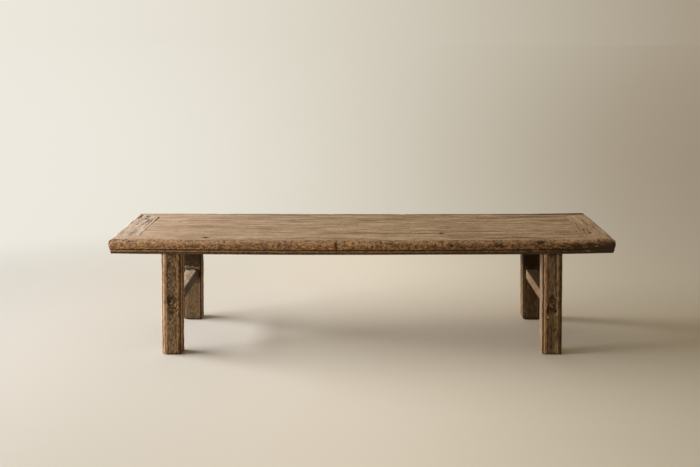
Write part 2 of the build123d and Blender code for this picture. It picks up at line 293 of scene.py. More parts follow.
def elm(name, axis, pith, seed, dry_and_lit=dry_elm, aged=aged_elm, coarse=1.0, drawn=1.0):
    """Old elm. Growth rings are cylinders round a leaning pith line along the grain axis, and
    streaks, fibres and pores are noise drawn out along it. Two ramps colour the same grain:
    dry for scrubbed faces and for faces with painted light, aged for faces that keep their
    patina. Grime, which also carries painted shade, and rub, which also carries painted
    highlights, go on top.
    Coarse above 1 widens the rings and streaks, and drawn below 1 lengthens the mottling."""
    material = bpy.data.materials.new(name)
    material.use_nodes = True
    tree = material.node_tree
    shader = tree.nodes["Principled BSDF"]
    turn = {"x": (0, 0, 0), "y": (0, 0, math.pi / 2), "z": (0, math.pi / 2, 0)}[axis]
    laid = node(tree, "ShaderNodeMapping", {
        "Vector": node(tree, "ShaderNodeTexCoord", {}).outputs["Object"],
        "Rotation": turn, "Location": (seed * 1.7, 0, 0),
    })
    grain = laid.outputs["Vector"]

    # In short: a fact of the mesh, one sum, a weighted sum, a mix of two colours, and noise
    # drawn out by a scale for each axis
    def fact(title):
        return node(tree, "ShaderNodeAttribute", {}, attribute_name=title).outputs["Fac"]

    def joined(operation, first, second, clamp=False):
        settings = {"operation": operation, "use_clamp": clamp}
        return node(tree, "ShaderNodeMath", {0: first, 1: second}, **settings).outputs[0]

    def sum_of(*pairs, start=0.0):
        total = start
        for source, share in pairs:
            sockets = {0: source, 1: share, 2: total}
            total = node(tree, "ShaderNodeMath", sockets, operation="MULTIPLY_ADD").outputs[0]
        return total

    def mixed(factor, first, second, blend="MIX"):
        sockets = {0: factor, 6: first, 7: second}
        return node(tree, "ShaderNodeMix", sockets, data_type="RGBA", blend_type=blend).outputs[2]

    def stretched(scale, detail, rough, distort=0.0, shift=0.0):
        spread = node(tree, "ShaderNodeMapping", {
            "Vector": grain, "Scale": scale, "Location": (shift, shift, seed),
        })
        return node(tree, "ShaderNodeTexNoise", {
            "Vector": spread.outputs["Vector"], "Scale": 1.0,
            "Detail": detail, "Roughness": rough, "Distortion": distort,
        }).outputs["Fac"]

    # Rings round the pith, bent by slow noise
    lean = node(tree, "ShaderNodeMapping", {
        "Vector": grain, "Location": pith, "Rotation": (0, 0.012, 0.02), "Scale": (0.12, 1, 1),
    })
    bend = stretched((1.6, 9, 9), 2, 0.5)
    push = node(tree, "ShaderNodeVectorMath", {
        0: (0, 0.03, 0.03), "Scale": bend,
    }, operation="SCALE")
    bent = node(tree, "ShaderNodeVectorMath", {
        0: lean.outputs["Vector"], 1: push.outputs["Vector"],
    }, operation="ADD")
    rings = node(tree, "ShaderNodeTexWave", {
        "Vector": bent.outputs["Vector"], "Scale": 58.0 / coarse,
        "Distortion": 1.5, "Detail": 2.0, "Detail Scale": 1.2,
    }, wave_type="RINGS", rings_direction="X", wave_profile="SAW").outputs["Fac"]
    streaks = stretched((3.6, 34 / coarse, 34 / coarse), 6, 0.72, 0.12)
    broad = stretched((1.8, 13, 13), 3, 0.5, 0.4, 3.0)
    fibres = stretched((34, 420, 420), 3, 0.6, 0.0, 5.0)
    pores = stretched((60, 800, 800), 2, 0.5, 0.0, 9.0)
    mottle = stretched((120 * drawn, 200, 200), 4, 0.72, 0.5, 11.0)
    grit = stretched((155 * drawn, 245, 245), 3, 0.60, 0.4, 15.0)
    patches = stretched((7, 11, 11), 4, 0.6, 0.8, 13.0)
    threads = stretched((13, 58, 58), 4, 0.66, 0.1, 17.0)
    dry_tone = sum_of(
        (streaks, 0.34), (threads, 0.32), (rings, 0.06),
        (broad, 0.12), (fibres, 0.04), (grit, 0.12))
    aged_tone = sum_of(
        (streaks, 0.08), (rings, 0.04), (mottle, 0.34), (grit, 0.52), (patches, 0.02))
    dry_and_lit_share = fact("dry_and_lit")
    colour = mixed(dry_and_lit_share, tone_ramp(tree, aged_tone, aged), tone_ramp(tree, dry_tone, dry_and_lit))

    # Open pores and short dark flecks along the grain
    flecks = tone_ramp(tree, pores, [(0.30, (0.45, 0.40, 0.36)), (0.40, (1.0, 1.0, 1.0))])
    colour = mixed(0.8, colour, flecks, "MULTIPLY")
    spots = stretched((145 * drawn, 240, 240), 2, 0.55, 0.7, 21.0)
    specks = tone_ramp(tree, spots, [
        (0.41, (0.13, 0.09, 0.06)),
        (0.465, (0.84, 0.81, 0.76)),
        (0.58, (1.0, 0.99, 0.96)),
        (0.66, (1.32, 1.25, 1.12)),
    ])
    speckled = mixed(1.0, colour, specks, "MULTIPLY")
    faint = mixed(0.25, colour, specks, "MULTIPLY")
    colour = mixed(dry_and_lit_share, speckled, faint)

    # Rubbed high places and painted highlights, then grime in the low ones and painted shade, both
    # broken up by the mottling
    patchy = tone_ramp(tree, mottle, [(0.32, (0.25,) * 3), (0.62, (1.0,) * 3)])
    lighter = mixed(0.70, colour, mixed(dry_and_lit_share, *rubbed_and_highlight_tones))
    colour = mixed(joined("MULTIPLY", fact("rub_and_highlight"), patchy), colour, lighter)
    grime_and_shade_share = joined("MULTIPLY", fact("grime_and_shade"), sum_of((mottle, 0.9), start=0.58), clamp=True)
    tree.links.new(mixed(grime_and_shade_share, colour, grime_and_shade_tone), shader.inputs["Base Color"])

    # Scrubbed faces are duller than those that keep their patina
    gloss = joined("ADD", sum_of((mottle, 0.30), (dry_and_lit_share, 0.34)), 0.45, clamp=True)
    tree.links.new(gloss, shader.inputs["Roughness"])
    shine = node(tree, "ShaderNodeMapRange", {"Value": dry_and_lit_share, "To Min": 0.18, "To Max": 0.07})
    tree.links.new(shine.outputs["Result"], shader.inputs["Specular IOR Level"])
    relief = sum_of(
        (streaks, 0.50), (fibres, 0.30), (rings, 0.15), (mottle, 0.30), (grit, 0.50),
        (pores, 0.30), (spots, 1.00))
    bump = node(tree, "ShaderNodeBump", {"Height": relief, "Strength": 0.85, "Distance": 0.0022})
    tree.links.new(bump.outputs["Normal"], shader.inputs["Normal"])
    return material


roll_bulge = 0.014
roll_setback = 0.012
roll_foot = (0.004, -0.0302)
quirk_floor = 0.008
bead_face = 0.0045
bead_span = (-0.0327, -0.0404)
fillet_face = 0.007
groove_span = (-0.018, -0.00985)
groove_floor = 0.076


def moulded_outline():
    """Outline of a frame member: first number inwards from the outermost line of the edge, second
    up from the top face. Two arcs that meet upright make the roll, a third the bead."""
    upper = (roll_setback**2 + roll_bulge**2) / (2.0 * roll_setback)
    drop = roll_bulge + roll_foot[1]
    lower = (roll_foot[0] ** 2 + drop**2) / (2.0 * roll_foot[0])
    start = math.degrees(math.atan2(roll_bulge, roll_setback - upper))
    end = 180.0 + math.degrees(math.asin(-drop / lower))
    half_bead = (bead_span[0] - bead_span[1]) / 2.0
    swell = quirk_floor - bead_face
    bead = (half_bead**2 + swell**2) / (2.0 * swell)
    turn = math.degrees(math.asin(half_bead / bead))
    bead_middle = (bead_face + bead, bead_span[0] - half_bead)
    bottom = -frame_thickness
    return np.vstack([
        line((frame_width, 0.0), (roll_setback, 0.0), 34, 0.55),
        arc((upper, -roll_bulge), upper, start, 180.0, 13),
        arc((lower, -roll_bulge), lower, 180.0, end, 10),
        chain(roll_foot, ((quirk_floor, roll_foot[1]), 3), ((quirk_floor, bead_span[0]), 2)),
        arc(bead_middle, bead, 180.0 - turn, 180.0 + turn, 9),
        chain(
            (quirk_floor, bead_span[1]),
            ((fillet_face, bead_span[1]), 1), ((fillet_face, bottom), 4),
            ((frame_width, bottom), 17, 0.6), ((frame_width, groove_span[0]), 6),
            ((groove_floor, groove_span[0]), 3), ((groove_floor, groove_span[1]), 2),
            ((frame_width, groove_span[1]), 3), ((frame_width, 0.0), 4),
        ),
    ])


def frame_member(name, out, reach, half_run, step, seed, material, knocks, cracks, soot_and_shade):
    """One mitred member of the top frame. The outline is carried along the member, and each of
    its points stops at the mitre, so a point u inwards runs to half_run - u on both sides.
    The skin is then moved along its normals by noise, knocks and cracks, and sags with the top."""
    outline = moulded_outline()
    normal = outward(outline)
    out = np.array([out[0], out[1], 0.0])
    along = np.array([-out[1], out[0], 0.0])
    up = np.array([0.0, 0.0, 1.0])
    share = np.linspace(-1.0, 1.0, int(2 * half_run / step))
    close = 1.0 - end_steps / (half_run - frame_width)
    share = np.unique(np.concatenate([share, close, -close]))
    u, w = outline[:, 0], outline[:, 1]
    run = share[:, None] * (half_run - u)[None, :]
    # Towards the corners the bead and its quirk have worn into one slope
    at_corner = bell((1.0 - np.abs(share)) * half_run, worn_bead_reach)[:, None]
    slope = roll_foot[0] + 0.009 * np.clip((roll_foot[1] - w) / 0.017, 0.0, 1.0) ** 3
    below_roll = (w < roll_foot[1] + hair) & (u < 0.012)
    inwards = u + at_corner * np.where(below_roll, np.maximum(slope, roll_foot[0]) - u, 0.0)
    softened = np.clip(1.0 + w / 0.022, 0.0, 1.0) * (u < roll_setback - hair)
    inwards = inwards + at_corner * 0.0035 * softened
    points = (
        run[..., None] * along
        + (reach - inwards)[..., None] * out
        + (top_z + w)[None, :, None] * up
    )
    normals = -normal[:, :1] * out + normal[:, 1:] * up

    on_top = np.broadcast_to((np.abs(w) < hair) & (u > roll_setback - hair), run.shape)
    on_roll = np.broadcast_to((w > roll_foot[1] - hair) & (u < roll_setback + hair), run.shape)
    below = np.broadcast_to(w < -frame_thickness + hair, run.shape)
    stretch = np.where(along == 0.0, 90.0, 7.0)
    height = 0.0005 * lumps(points, (4, 4, 4), seed, 2)
    height = height + 0.00022 * lumps(points, stretch, seed + 1, 2) * on_top
    height = height + 0.00018 * lumps(points, 75.0, seed + 2, 2) * on_roll
    height = height + 0.0006 * lumps(points, stretch * 0.4, seed + 3, 2) * below
    pits = np.clip(lumps(points, 130.0, seed + 4, 2) * on_roll - 0.62, 0.0, None) * 2.2
    near_arris = bell(u - roll_setback, 0.006) * (w > -roll_bulge)
    chips = np.clip(lumps(points, 45.0, seed + 5, 2) - 0.25, 0.0, None)
    height = height - 0.0016 * pits - 0.0014 * chips * near_arris
    knocked = dents(strayed(points, 0.002, 160.0, seed + 6), knocks)
    cracked = checks(points, cracks)
    height = height - knocked - cracked
    # Joint lines: the surface eases off at the mitre and at the inner edge
    joint = bell((1.0 - np.abs(share))[:, None] * (half_run - u)[None, :], joint_line)
    inner_edge = bell(frame_width - u, 0.0014) * (w > groove_span[1])
    eased = np.clip(1.0 + lumps(points, stretch * 0.5, seed + 7), 0, 2)
    height = height - 0.0005 * joint - 0.0004 * inner_edge * eased
    points = settled(rounded_corners(points + normals * height[..., None]))

    below_foot = w < roll_foot[1] + hair
    outer = u < quirk_floor + hair
    in_quirk = outer & (u > roll_foot[0] - hair) & below_foot & (w > bead_span[0] - hair)
    under_bead = (w < bead_span[1] + 0.0015) & (u < 0.010)
    on_bead = outer & (w < bead_span[0] + hair) & (w > bead_span[1] - hair)
    low = np.clip(-lumps(points, 170.0, seed + 8, 2) * 1.3 - 0.30, 0.0, 1.0)
    at_edge = (u < 0.021) | below_foot | (points[..., 1] > half_depth - 0.050)
    grime_and_shade = (
        0.90 * in_quirk + 0.66 * under_bead + 0.40 * on_bead + 0.7 * np.clip(pits * 2.0, 0, 1)
        + filled(knocked, cracked, 0.0012, 0.9)
        + 0.25 * joint * (w > -0.030) + 0.16 * inner_edge + 0.45 * low * on_roll
        + 0.30 * below + soot_and_shade(points) * at_edge - 0.30 * at_corner * below_roll
    )
    crown = bell(w + 0.5 * roll_bulge, 0.008) * on_roll
    bead_crown = (u < bead_face + 0.0012) & (w < bead_span[0]) & (w > bead_span[1])
    paled = paler_towards_left(points) * (on_top + 0.15 * (on_roll & ~on_top)) * (abs(out[1]) > 0.5)
    rub_and_highlight = 0.45 * crown + 0.38 * bead_crown + 0.15 * on_roll + paled
    dry_roll = (0.12 + 0.78 * abs(out[0])) * np.clip(1.0 + w / 0.008, 0, 1) * on_roll
    dry_and_lit = on_top + dry_roll + 0.25 * below
    piece = skin(name, points, {"grime_and_shade": grime_and_shade, "rub_and_highlight": rub_and_highlight, "dry_and_lit": dry_and_lit}, material)
    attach(piece, "root")
    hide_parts(name)


front_knocks = np.vstack([
    # Holes and gouges in the roll and along its top arris
    upright_dents(-0.26, 0.02, [
        [-0.7717, 0.357, 0.004, 0.0024, 0.0024],
        [-0.7592, 0.352, 0.0026, 0.0018, 0.0018],
        [-0.6704, 0.3617, 0.0045, 0.002, 0.0018],
        [-0.6595, 0.3594, 0.0028, 0.0024, 0.0018],
        [-0.5308, 0.353, 0.03, 0.006, 0.0014],
        [-0.0816, 0.356, 0.0036, 0.013, 0.0044],
        [0.088, 0.363, 0.011, 0.0028, 0.0021],
        [0.065, 0.36, 0.005, 0.0016, 0.002],
        [0.108, 0.36, 0.004, 0.002, 0.0018],
        [0.2812, 0.3562, 0.005, 0.004, 0.005],
        [0.4336, 0.3562, 0.014, 0.006, 0.0009],
        [0.557, 0.362, 0.005, 0.002, 0.002],
    ]),
    upright_dents(-0.256, 0.02, [
        [-0.75, 0.368, 0.003, 0.0014, 0.0016],
        [-0.741, 0.368, 0.0022, 0.0014, 0.0014],
        [-0.732, 0.367, 0.003, 0.0014, 0.0016],
        [0.568, 0.366, 0.007, 0.003, 0.0042],
    ]),
    # A knot hole in the top face, then dents all along
    [-0.4958, -0.209, top_z, 0.0065, 0.0075, 0.02, 0.0068],
    scattered(
        31, 46, (-0.80, -0.262, 0.345), (0.80, -0.252, 0.372),
        (0.0025, 0.006), (0.0004, 0.0013)),
    scattered(
        32, 16, (-0.78, -0.245, 0.372), (0.78, -0.180, 0.374),
        (0.003, 0.008), (0.0003, 0.0008)),
])
front_cracks = top_cracks([
    [-0.745, -0.2165, -0.712, -0.215, 0.0018, 0.0012],
    [-0.592, -0.23, -0.548, -0.236, 0.002, 0.0014],
    [0.6, -0.2, 0.634, -0.201, 0.0018, 0.0012],
    [0.6952, -0.178, 0.6966, -0.212, 0.0018, 0.0018],
    [0.7048, -0.186, 0.706, -0.229, 0.0018, 0.0018],
    [0.713, -0.19, 0.716, -0.225, 0.0016, 0.0016],
    [0.688, -0.2, 0.69, -0.23, 0.0016, 0.0014],
    [-0.18, -0.207, -0.02, -0.206, 0.0015, 0.0009],
    [0.33, -0.22, 0.45, -0.219, 0.0015, 0.0009],
])


def front_soot_and_shade(points):
    """The tone of the front roll: soft smoky patches, as wide as the hands and cloths that left
    them, a darker lower edge outside the left leg, a right end that darkens all over, partly
    grime and partly painted shade where the light falls off, with painted shade on its rounded
    end corner, and a paler streak along its top arris. They are broken up by noise, but for the
    last 35 mm."""
    spots = upright_dents(-0.26, 0.05, [
        [-0.38, 0.353, 0.05, 0.012, 0.34],
        [-0.27, 0.352, 0.08, 0.012, 0.34],
        [-0.53, 0.353, 0.016, 0.006, 0.30],
        [0.088, 0.362, 0.02, 0.008, 0.25],
        [0.434, 0.356, 0.022, 0.008, 0.40],
        [0.562, 0.364, 0.02, 0.006, 0.22],
        # Partly grime and partly painted shade: the right end darkens all over
        [0.86, 0.349, 0.245, 0.017, 1.95],
        [0.4, 0.346, 0.36, 0.022, 0.42],
        [-0.79, 0.327, 0.06, 0.004, 0.65],
        # Painted shade on the rounded right end corner, which turns away from the light
        [0.815, 0.35, 0.035, 0.03, 1.00],
        [-0.745, 0.333, 0.105, 0.006, 0.12],
        [0.67, 0.369, 0.07, 0.0045, -0.60],
        [-0.8, 0.362, 0.012, 0.014, 0.60],
    ])
    uneven = 0.7 * lumps(points, (80, 210, 210), 71, 2) * rise(-points[..., 0], -0.765, 0.006)
    return dents(points, np.array(spots)) * np.clip(0.72 - uneven, 0.0, 1.6)


def back_edge_darkening(points):
    """A dark line along the back arris of the top: faint
    along most of it, strong at the right, with a ragged front limit about 30 mm in."""
    strength = 0.30 + 0.75 * rise(points[..., 0], 0.53, 0.05)
    ragged = points[..., 1] + 0.012 * strength + 0.010 * lumps(points, (22, 60, 60), 75, 3)
    return strength * rise(ragged, half_depth - 0.026, 0.0035) * (points[..., 2] > 0.358)


def patchy_soot(points, cells, seed, strength, least=-0.15):
    """Blotches of soot where the noise falls below a level."""
    return strength * np.clip(least - lumps(points, cells, seed, 3), 0.0, 1.0)


frame_member(
    "front_rail", (0, -1), half_depth, half_length, 0.0032, 3,
    elm("front rail elm", "x", (0, 0.21, -0.30), 1.3, drawn=0.8),
    front_knocks, front_cracks, front_soot_and_shade,
)
frame_member(
    "back_rail", (0, 1), half_depth, half_length, 0.0036, 17,
    elm("back rail elm", "x", (0, -0.18, -0.28), 4.1),
    np.vstack([
        scattered(
            33, 40, (-0.80, 0.252, 0.345), (0.80, 0.262, 0.372),
            (0.0025, 0.007), (0.0004, 0.0016)),
        scattered(
            34, 14, (-0.78, 0.180, 0.372), (0.78, 0.245, 0.374),
            (0.003, 0.008), (0.0003, 0.0008)),
    ]),
    top_cracks([
        [-0.3, 0.21, -0.12, 0.211, 0.0016, 0.0012],
        [0.2, 0.226, 0.42, 0.225, 0.0018, 0.0013],
    ]),
    lambda points: patchy_soot(points, (9, 60, 60), 72, 0.35) + back_edge_darkening(points),
)

# --- End rails -------------------------------------------------------------------------------
# The short members at the two ends, the same section as the long rails and grooved like them,
# with their grain running from front to back. The long rails' hidden tenons run into them. Both
# have opened up along the grain, and the left one has pulled away from the panel.
left_soot = np.array([[-0.80, -0.26, 0.362, 0.02, 0.020, 0.014, 0.55]])


def toned(stops, gain, lift=0.0):
    """The stops of a ramp, their tones scaled by a gain and raised by a lift."""
    gain, lift = np.array(gain), np.array(lift)
    return [(place, tuple(lift + gain * np.array(tone))) for place, tone in stops]


frame_member(
    "left_end_rail", (-1, 0), half_length, half_depth, 0.0024, 23,
    elm("left end elm", "y", (0, 0.73, -0.31), 2.2,
        toned(dry_elm, (0.92, 1.06, 1.30), (0.16, 0.115, 0.085))),
    np.vstack([
        [-0.7506, 0.1843, top_z, 0.0055, 0.0085, 0.02, 0.005],
        [-0.762, -0.0195, top_z, 0.0046, 0.006, 0.02, 0.0014],
        [-0.7454, -0.0786, top_z, 0.0046, 0.006, 0.02, 0.0016],
        [-0.7435, -0.1305, top_z, 0.0055, 0.008, 0.02, 0.0012],
        scattered(
            35, 18, (-0.802, -0.24, 0.345), (-0.792, 0.24, 0.372),
            (0.0025, 0.007), (0.0004, 0.0016)),
    ]),
    top_cracks([
        [-0.7745, 0.226, -0.7802, 0.138, 0.0032, 0.0041],
        [-0.785, 0.238, -0.7925, 0.214, 0.0028, 0.003],
        [-0.748, 0.16, -0.7515, 0.118, 0.0025, 0.0024],
        [-0.7364, 0.134, -0.737, 0.05, 0.0032, 0.0038],
        [-0.7372, 0.058, -0.741, 0.018, 0.0022, 0.0022],
        [-0.725, 0.11, -0.7262, 0.04, 0.0019, 0.0014],
        [-0.786, 0.09, -0.7856, 0.036, 0.0022, 0.0016],
        [-0.762, 0.07, -0.7605, 0.01, 0.0019, 0.0014],
    ]),
    lambda points: patchy_soot(points, (60, 9, 60), 73, 0.25) + dents(points, left_soot),
)
frame_member(
    "right_end_rail", (1, 0), half_length, half_depth, 0.0024, 29,
    elm("right end elm", "y", (0, -0.77, -0.29), 5.6, toned(dry_elm, 0.62, (0.141, 0.093, 0.055))),
    np.vstack([
        [0.7435, -0.136, top_z, 0.003, 0.006, 0.02, 0.0022],
        scattered(
            36, 22, (0.792, -0.24, 0.345), (0.802, 0.24, 0.372),
            (0.0025, 0.007), (0.0004, 0.0016)),
    ]),
    top_cracks([
        [0.7322, -0.068, 0.7262, -0.122, 0.0025, 0.0041],
        [0.7262, -0.12, 0.7282, -0.176, 0.0024, 0.0035],
        [0.737, -0.098, 0.737, -0.132, 0.0022, 0.003],
        [0.737, -0.13, 0.7384, -0.152, 0.0025, 0.0038],
        [0.7384, -0.152, 0.7472, -0.13, 0.0025, 0.0038],
        [0.7205, -0.15, 0.7225, -0.176, 0.002, 0.0022],
        [0.76, 0.12, 0.761, 0.01, 0.0019, 0.0014],
        [0.724, 0.06, 0.725, -0.03, 0.0018, 0.0014],
    ]),
    lambda points: patchy_soot(points, (60, 9, 60), 74, 0.35, -0.10) + back_edge_darkening(points),
)

# --- Corner pegs -----------------------------------------------------------------------------
# Four whittled elm pegs, driven up through the mitre tenons from below. Each was cut with a
# knife, so it is eight-sided with soft corners, and its end was pared off with the underside.
peg_low, peg_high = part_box("corner_pegs")
peg_reach = 0.0045
peg_wood = elm("peg elm", "z", (0, 0.0, 0.1), 7.9, coarse=0.5)


def placed(x, y, z):
    """Points, or normals, from their three parts: numbers, rows along a ring or columns along a
    piece, spread over the whole grid."""
    return np.stack(np.broadcast_arrays(x, y, z), axis=-1)


def whittled_peg(place, seed):
    """Stations up a peg: a ring whose radius is that of an octagon with its corners worn half
    way to the circle, with a pared and slightly domed end below and a blunt point above."""
    angle = np.arange(40) / 40 * 2 * np.pi
    facet = (angle + seed) % (np.pi / 4) - np.pi / 8
    octagon = np.cos(np.pi / 8) / np.cos(facet)
    climb = np.concatenate([np.zeros(4), np.linspace(0.0004, 1.0, 12), [1.0]])
    size = np.concatenate([[0.05, 0.4, 0.7, 0.92], np.linspace(1.0, 0.94, 12), [0.5]])
    radius = peg_reach * size[:, None] * (0.5 + 0.5 * octagon)[None, :]
    z = peg_low.z + climb * (peg_high.z - peg_low.z)
    points = placed(
        place[0] + radius * np.cos(angle), place[1] + radius * np.sin(angle), z[:, None])
    points[..., 2] += 0.0004 * lumps(points, 300.0, seed) * (climb[:, None] < 0.001)
    return points


for number, (side, way) in enumerate([(-1, -1), (1, -1), (-1, 1), (1, 1)]):
    place = (side * (peg_high.x - peg_reach), way * (peg_high.y - peg_reach))
    points = settled(whittled_peg(place, number + 1))
    rim = np.zeros(points.shape[:2])
    rim[2:5] = 0.8
    facts = {"grime_and_shade": rim, "rub_and_highlight": 0 * rim, "dry_and_lit": 0 * rim + 0.5}
    piece = skin(f"corner_peg_{number + 1}", points, facts, peg_wood)
    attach(piece, "root")
    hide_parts("corner_pegs")

# --- Panel boards ----------------------------------------------------------------------------
# Two flat-sawn elm boards, flush with the frame and tongued into it all round. The front board
# is the wider one and its seam tongue runs into the back board. Scrubbing has raised the grain,
# and the boards have shrunk away from the left end rail.
board_low, board_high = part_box("front_board")
back_low, back_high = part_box("back_board")
tongue_top = -0.010
shrink_reach = 0.30
board_bottom = board_low.z - top_z
opening_x = half_length - frame_width - 0.0005
opening_y = half_depth - frame_width - 0.0005
seam_y = back_low.y
seam_reach = board_high.y
panel_wood = elm("front board elm", "x", (0, 0.075, -0.245), 0.4)
back_wood = elm("back board elm", "x", (0, -0.10, -0.26), 3.3)


def shrunken_end(y):
    """How far the boards have pulled back from the left end rail: 3 mm over the back third,
    easing to under a millimetre at the front."""
    return 0.0002 + 0.0026 * rise(y, 0.070, 0.018)


def board(name, outline, low_edge, high_edge, seed, material, knocks, cracks):
    """A board: its outline across the grain is carried along the grain. Near each end the
    points above the tongue drop onto it in one step, so the tongue stands out beyond the face.
    The skin is moved along its normals by grain relief, wear, knocks and cracks."""
    normal = outward(outline)
    y, w = outline[:, 0], outline[:, 1]
    stations = np.unique(np.concatenate([
        np.linspace(-opening_x, opening_x, 448),
        opening_x - end_steps,
        end_steps - opening_x,
    ]))
    from_left = stations + opening_x
    x = stations[:, None] + shrunken_end(y) * np.clip(1.0 - from_left / shrink_reach, 0, 1)[:, None]
    face = placed(x, y, top_z + w)
    normals = placed(0.0, normal[:, 0], normal[:, 1])
    on_top = np.broadcast_to(np.abs(w) < hair, x.shape)
    under = np.broadcast_to(w < board_bottom + hair, x.shape)
    height = 0.0006 * lumps(face, (3.5, 7, 7), seed, 2)
    height = height + 0.00028 * lumps(face, (6, 95, 95), seed + 1, 2) * on_top
    height = height + 0.00020 * lumps(face, (14, 240, 240), seed + 2, 1) * on_top
    height = height + 0.0009 * lumps(face, (9, 24, 24), seed + 3, 2) * under
    edge = np.minimum(y - low_edge, high_edge - y)
    eased = bell(edge, 0.0016) * on_top
    ends = bell(opening_x - np.abs(stations), 0.0016)[:, None] * on_top
    knocked = dents(strayed(face, 0.0015, 160.0, seed + 4), knocks)
    cracked = checks(face, cracks, seed=seed + 5) * on_top
    height = height - 0.0007 * eased - 0.0004 * ends - (knocked + cracked) * on_top
    points = face + normals * height[..., None]
    first, last = points[:1].copy(), points[-1:].copy()
    first[..., 2] = np.minimum(first[..., 2], top_z + tongue_top)
    last[..., 2] = np.minimum(last[..., 2], top_z + tongue_top)
    first_end, last_end = first.copy(), last.copy()
    first_end[..., 0] = board_low.x
    last_end[..., 0] = board_high.x
    points = settled(np.concatenate([first_end, first, points, last, last_end]))
    # Dirt in the joints at the ends, deepest where the left one has opened
    left_gap, right_gap = 0.06 + 0.7 * rise(y, 0.06, 0.012), 0.03 + 0.15 * rise(y, 0.10, 0.012)
    opened = np.where((stations < 0.0)[:, None], left_gap, right_gap)
    low = np.clip(-lumps(face, (5, 46, 46), seed + 6, 3) - 0.55, 0.0, 1.0)
    grime_and_shade = (
        0.40 * eased + opened * ends + filled(knocked, cracked)
        + 0.35 * under + 0.5 * low * on_top
    )
    gap = np.broadcast_to(0.35 + 0.65 * rise(y, 0.05, 0.012), (2, len(y)))
    grime_and_shade = np.concatenate([gap, grime_and_shade, gap])
    dry_and_lit = np.concatenate([np.zeros((2, len(y))), on_top + 0.35 * under, np.zeros((2, len(y)))])
    facts = {"grime_and_shade": grime_and_shade, "rub_and_highlight": paler_towards_left(points) * (dry_and_lit > 0.9), "dry_and_lit": dry_and_lit}
    piece = skin(name, points, facts, material)
    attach(piece, "root")
    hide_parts(name)


seam_top, seam_bottom, seam_play = -0.0045, -0.0105, 0.0006
front_outline = chain(
    (-opening_y, 0.0),
    ((seam_y, 0.0), 92, 0.45),
    ((seam_y, seam_top), 3),
    ((seam_reach, seam_top), 2),
    ((seam_reach, seam_bottom), 2),
    ((seam_y, seam_bottom), 2),
    ((seam_y, board_bottom), 2),
    ((board_low.y, board_bottom), 40, 0.3),
    ((board_low.y, tongue_top), 3),
    ((-opening_y, tongue_top), 2),
    ((-opening_y, 0.0), 4),
)
back_outline = chain(
    (seam_y, 0.0),
    ((opening_y, 0.0), 56, 0.45),
    ((opening_y, tongue_top), 4),
    ((back_high.y, tongue_top), 2),
    ((back_high.y, board_bottom), 3),
    ((seam_y, board_bottom), 26, 0.3),
    ((seam_y, seam_bottom), 2),
    ((seam_reach + seam_play, seam_bottom), 2),
    ((seam_reach + seam_play, seam_top), 2),
    ((seam_y, seam_top), 2),
    ((seam_y, 0.0), 3),
)
board("front_board", front_outline, -opening_y, seam_y, 41, panel_wood,
    np.vstack([
        [0.2597, -0.1287, top_z, 0.0055, 0.008, 0.02, 0.0045],
        [0.152, -0.169, top_z, 0.0075, 0.006, 0.02, 0.0026],
        scattered(
            37, 34, (-0.70, -0.17, 0.372), (0.70, 0.04, 0.374),
            (0.003, 0.008), (0.0003, 0.0009)),
    ]),
    top_cracks([
        [-0.64, -0.095, -0.52, -0.094, 0.0018, 0.0012],
        [-0.26, -0.03, -0.06, -0.032, 0.0016, 0.0011],
        [0.12, -0.07, 0.3, -0.069, 0.0016, 0.0011],
        [0.56, 0.01, 0.706, 0.008, 0.0022, 0.0016],
        [0.5, -0.13, 0.64, -0.129, 0.0017, 0.0012],
        [0.7016, -0.103, 0.699, -0.145, 0.002, 0.0026],
    ]),
)
board("back_board", back_outline, seam_y, opening_y, 53, back_wood,
    scattered(
        38, 24, (-0.70, 0.05, 0.372), (0.70, 0.17, 0.374),
        (0.003, 0.008), (0.0003, 0.0009)),
    top_cracks([
        [-0.52, 0.118, -0.33, 0.12, 0.0018, 0.0013],
        [0.02, 0.09, 0.24, 0.088, 0.0016, 0.0011],
        [0.6216, 0.064, 0.6934, 0.06, 0.0022, 0.0018],
        [0.42, 0.142, 0.6, 0.144, 0.0017, 0.0012],
    ]),
)

# --- Battens ---------------------------------------------------------------------------------
# Three elm bars across the underside. A dovetailed key along the top of each slides in a groove
# of the boards and holds them flat, and a tenon at each end sits in a long rail. Nobody sees
# them from above, so they were left as the plane and the adze left them.
key_height, key_neck, key_head = 0.0055, 0.014, 0.016
batten_wood = elm(
    "batten elm", "y", (0, 0.1, -0.2), 6.3, toned(dry_elm, 0.62), toned(aged_elm, 0.62))


def carried(outline, stations, middle, level=0.0):
    """A profile of x and z carried along y: its points at every station, and their normals."""
    points = placed(middle + outline[:, 0], stations[:, None], level + outline[:, 1])
    normal = outward(outline)
    return points, placed(normal[:, 0], 0.0, normal[:, 1])


